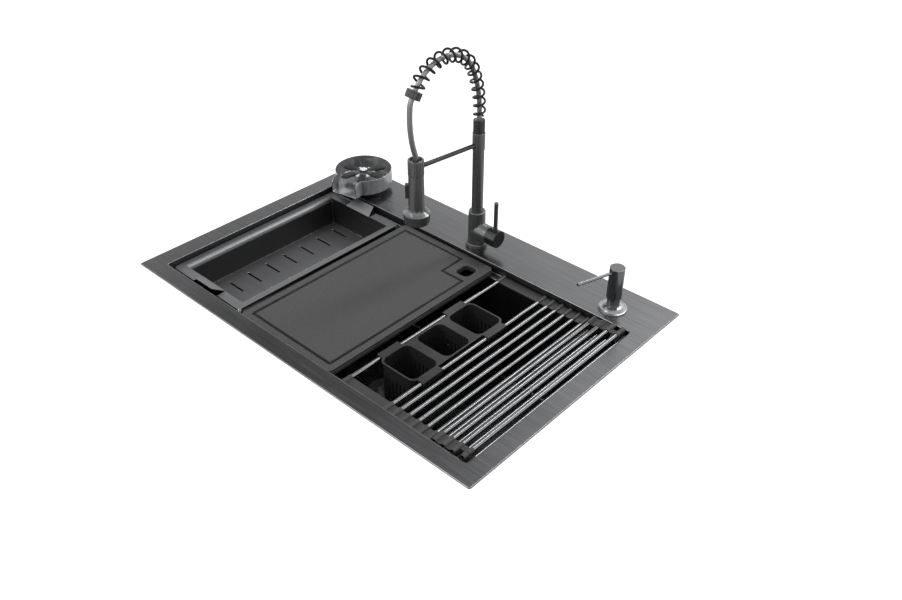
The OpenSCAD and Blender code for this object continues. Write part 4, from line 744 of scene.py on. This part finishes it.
# Petals of the rinser: moulded paddles with cross ribs, over a chrome plate with a painted reflection, in mm
petalSet = {
    "count": 6,
    "turn": -79,
    "hub": 9,
    "thick": 4,
    "rootWidth": 10,
    "tipWidth": 20,
    "reach": 51,
    "edge": 0.7,
    "edgeSegments": 2,
    "sharp": 60,
    "tipStep": 15,
    "ribs": 8,
    "ribFrom": 20,
    "ribPitch": 3.4,
    "ribWidth": 1.5,
    "ribRise": 0.9,
    "ribRoot": 1,
    "ribInset": 1.6,
}
plateSet = {"radius": 24, "rise": 2.5, "top": 9, "gap": 0.6}
roundSides = 48


def petalOutline(settings):
    # one side from the root to the middle of the round tip, and then the other side back
    root, tip = settings["rootWidth"] / 2, settings["tipWidth"] / 2
    shoulder = settings["reach"] - tip
    angles = [math.radians(a) for a in range(settings["tipStep"], 90, settings["tipStep"])]
    arc = [(shoulder + tip * math.sin(a), tip * math.cos(a)) for a in angles]
    upper = [(0, root), (shoulder, tip)] + arc + [(settings["reach"], 0)]
    return upper + [(x, -y) for x, y in reversed(upper[:-1])]


def ribOutline(settings, k):
    # a bar across the petal, which keeps clear of its edges as the petal widens
    root, tip = settings["rootWidth"], settings["tipWidth"]
    x = settings["ribFrom"] + k * settings["ribPitch"]
    share = min(x / (settings["reach"] - tip / 2), 1)
    half = (root + (tip - root) * share) / 2 - settings["ribInset"]
    w = settings["ribWidth"] / 2
    return [(x - w, -half), (x + w, -half), (x + w, half), (x - w, half)]


def extruded(bm, outline, low, high, place):
    ring = [bm.verts.new(place @ Vector((x * mm, y * mm, low * mm))) for x, y in outline]
    cap = bmesh.ops.extrude_face_region(bm, geom=[bm.faces.new(ring)])
    tops = [v for v in cap["geom"] if isinstance(v, bmesh.types.BMVert)]
    bmesh.ops.translate(bm, verts=tops, vec=Vector((0, 0, (high - low) * mm)))


def addCone(bm, centre, low, high, rise):
    bmesh.ops.create_cone(
        bm, cap_ends=True, segments=roundSides, radius1=low * mm, radius2=high * mm,
        depth=rise * mm, matrix=Matrix.Translation(centre),
    )


def makePetals(settings, middle, top):
    bm = bmesh.new()
    places = []
    for k in range(settings["count"]):
        turn = math.radians(settings["turn"] + (k + 0.5) * 360 / settings["count"])
        places.append(Matrix.Translation((middle.x, middle.y, 0)) @ Matrix.Rotation(turn, 4, "Z"))
    for place in places:
        extruded(bm, petalOutline(settings), top - settings["thick"], top, place)
    sharp = math.radians(settings["sharp"])
    crisp = [e for e in bm.edges if len(e.link_faces) == 2 and e.calc_face_angle(0) > sharp]
    bevelled(bm, crisp, settings["edge"], settings["edgeSegments"])
    for place in places:
        for k in range(settings["ribs"]):
            extruded(bm, ribOutline(settings, k), top - settings["ribRoot"], top + settings["ribRise"], place)
    hub = (middle.x, middle.y, (top - settings["thick"] / 2) * mm)
    addCone(bm, hub, settings["hub"], settings["hub"], settings["thick"])
    bmesh.ops.recalc_face_normals(bm, faces=bm.faces)
    finishNew(shadeSmooth(newPiece("rinserPetals", bm), creases["moulded"]), "rinser_petals")


def makeStarPlate(settings, middle, top):
    bm = bmesh.new()
    centre = (middle.x, middle.y, (top - settings["gap"] - settings["rise"] / 2) * mm)
    addCone(bm, centre, settings["radius"], settings["top"], settings["rise"])
    bmesh.ops.recalc_face_normals(bm, faces=bm.faces)
    plate = shadeSmooth(newPiece("starPlate", bm), creases["moulded"])
    finishNew(plate, "rinser_star", plateSteelShine)


starLow, starHigh = nodeBox("rinser_star")
starMiddle = (starLow + starHigh) / 2
petalTop = nodeBox("rinser_petals")[1].z / mm
makePetals(petalSet, starMiddle, petalTop)
makeStarPlate(plateSet, starMiddle, petalTop)
print("petals made")


# Stage: the sink hangs in a cut-out, so the floor is a worktop that frames it, in metres
stageSet = {"cutOut": (0.8362, 0.5572), "reach": 6.0}
floorSet = {"grey": 0.9, "roughness": 0.9, "specular": 0.1, "seenGlow": 0.45, "mirroredGlow": 0.1}
squareCorners = ((-1, -1), (1, -1), (1, 1), (-1, 1))


def makeWorktop(settings):
    bm = bmesh.new()
    w, d = settings["cutOut"]
    reach = settings["reach"]
    inner = [bm.verts.new((x * w / 2, y * d / 2, 0)) for x, y in squareCorners]
    outer = [bm.verts.new((x * reach, y * reach, 0)) for x, y in squareCorners]
    for k in range(4):
        bm.faces.new((inner[k], outer[k], outer[(k + 1) % 4], inner[(k + 1) % 4]))
    bmesh.ops.recalc_face_normals(bm, faces=bm.faces)
    return newPiece("worktop", bm)


def mirroredRays(tree, rays):
    return mathNode(tree, "MAXIMUM", rays.outputs["Is Glossy Ray"], rays.outputs["Is Transmission Ray"])


def makeFloorFinish(settings):
    material = bpy.data.materials.new("paleFloor")
    material.use_nodes = True
    tree = material.node_tree
    shader = tree.nodes["Principled BSDF"]
    level = settings["grey"]
    shader.inputs["Base Color"].default_value = (level, level, level, 1)
    shader.inputs["Roughness"].default_value = settings["roughness"]
    shader.inputs["Specular IOR Level"].default_value = settings["specular"]
    shader.inputs["Emission Color"].default_value = (1, 1, 1, 1)
    rays = tree.nodes.new("ShaderNodeLightPath")
    seen = mathNode(tree, "MULTIPLY", rays.outputs["Is Camera Ray"], settings["seenGlow"])
    mirrored = mathNode(tree, "MULTIPLY", mirroredRays(tree, rays), settings["mirroredGlow"])
    feed(tree, shader.inputs["Emission Strength"], mathNode(tree, "ADD", seen, mirrored))
    return material


worktop = makeWorktop(stageSet)
dress(worktop, makeFloorFinish(floorSet))


# Studio
worldSet = {
    "fill": 0.55,
    "seen": 1.0,
    "mirrored": 1.45,
    # a dark studio flag that polished parts mirror: its direction, the angles where it fades, its tone
    "flag": (-0.620, 0.388, 0.682),
    "fades": (5, 26),
    "darkest": 0.02,
    # the glow of the studio near its horizon, and the heights between which it fades
    "horizon": 1.7,
    "heights": (0.57, 0.46),
}
lampSet = {
    "backSoftbox": {"place": (0.2, 1.4, 1.69), "size": (0.3, 1.1), "power": 18},
    "frontSoftbox": {"place": (-0.9, -1.7, 1.9), "size": (0.9, 1.2), "power": 22},
}
cameraSet = {
    "place": (0.996958, -0.951599, 0.971791),
    # about Z, then X, then Z again, in degrees
    "turn": (42.448, 54.042, 0.254),
    "lens": 36.6635,
    "sensor": 36,
    "clip": (0.02, 60),
}


def makeWorld(settings):
    # white to the camera, a soft fill on the part, and a studio with flag and horizon in its mirrors
    world = bpy.data.worlds.new("studio")
    bpy.context.scene.world = world
    world.use_nodes = True
    tree = world.node_tree
    tree.nodes.clear()
    rays = tree.nodes.new("ShaderNodeLightPath")
    direction = tree.nodes.new("ShaderNodeTexCoord").outputs["Generated"]
    aim = tree.nodes.new("ShaderNodeVectorMath")
    aim.operation = "DOT_PRODUCT"
    tree.links.new(direction, aim.inputs[0])
    aim.inputs[1].default_value = settings["flag"]
    apart = mathNode(tree, "ARCCOSINE", mathNode(tree, "MINIMUM", aim.outputs["Value"], 1))
    fades = [math.radians(a) for a in settings["fades"]]
    flag = rangeNode(tree, apart, settings["darkest"] * settings["mirrored"], settings["mirrored"], fades)
    split = tree.nodes.new("ShaderNodeSeparateXYZ")
    tree.links.new(direction, split.inputs[0])
    horizon = rangeNode(tree, split.outputs["Z"], 1, settings["horizon"], settings["heights"])
    glow = mathNode(tree, "SUBTRACT", mathNode(tree, "MULTIPLY", flag, horizon), settings["fill"])
    mirrored = mathNode(tree, "MULTIPLY", mirroredRays(tree, rays), glow)
    lift = settings["seen"] - settings["fill"]
    seen = mathNode(tree, "MULTIPLY", rays.outputs["Is Camera Ray"], lift)
    level = mathNode(tree, "ADD", mathNode(tree, "ADD", seen, mirrored), settings["fill"])
    sky = tree.nodes.new("ShaderNodeBackground")
    sky.inputs["Color"].default_value = (1, 1, 1, 1)
    tree.links.new(level, sky.inputs["Strength"])
    tree.links.new(sky.outputs[0], tree.nodes.new("ShaderNodeOutputWorld").inputs[0])


def makeLamps(settings):
    # soft boxes that face the middle of the sink
    for name, lamp in settings.items():
        data = bpy.data.lights.new(name, "AREA")
        data.shape = "RECTANGLE"
        data.size, data.size_y = lamp["size"]
        data.energy = lamp["power"]
        item = bpy.data.objects.new(name, data)
        bpy.context.scene.collection.objects.link(item)
        item.location = lamp["place"]
        item.rotation_euler = (-Vector(lamp["place"])).to_track_quat("-Z", "Y").to_euler()


def makeCamera(settings):
    data = bpy.data.cameras.new("photoCamera")
    data.lens = settings["lens"]
    data.sensor_width = settings["sensor"]
    data.sensor_fit = "HORIZONTAL"
    data.clip_start, data.clip_end = settings["clip"]
    camera = bpy.data.objects.new("photoCamera", data)
    bpy.context.scene.collection.objects.link(camera)
    a, b, c = (math.radians(t) for t in settings["turn"])
    turn = Matrix.Rotation(a, 4, "Z") @ Matrix.Rotation(b, 4, "X") @ Matrix.Rotation(c, 4, "Z")
    camera.matrix_world = Matrix.Translation(settings["place"]) @ turn
    bpy.context.scene.camera = camera


bpy.context.scene.view_settings.view_transform = "Standard"
makeWorld(worldSet)
makeLamps(lampSet)
makeCamera(cameraSet)
print("studio ready")
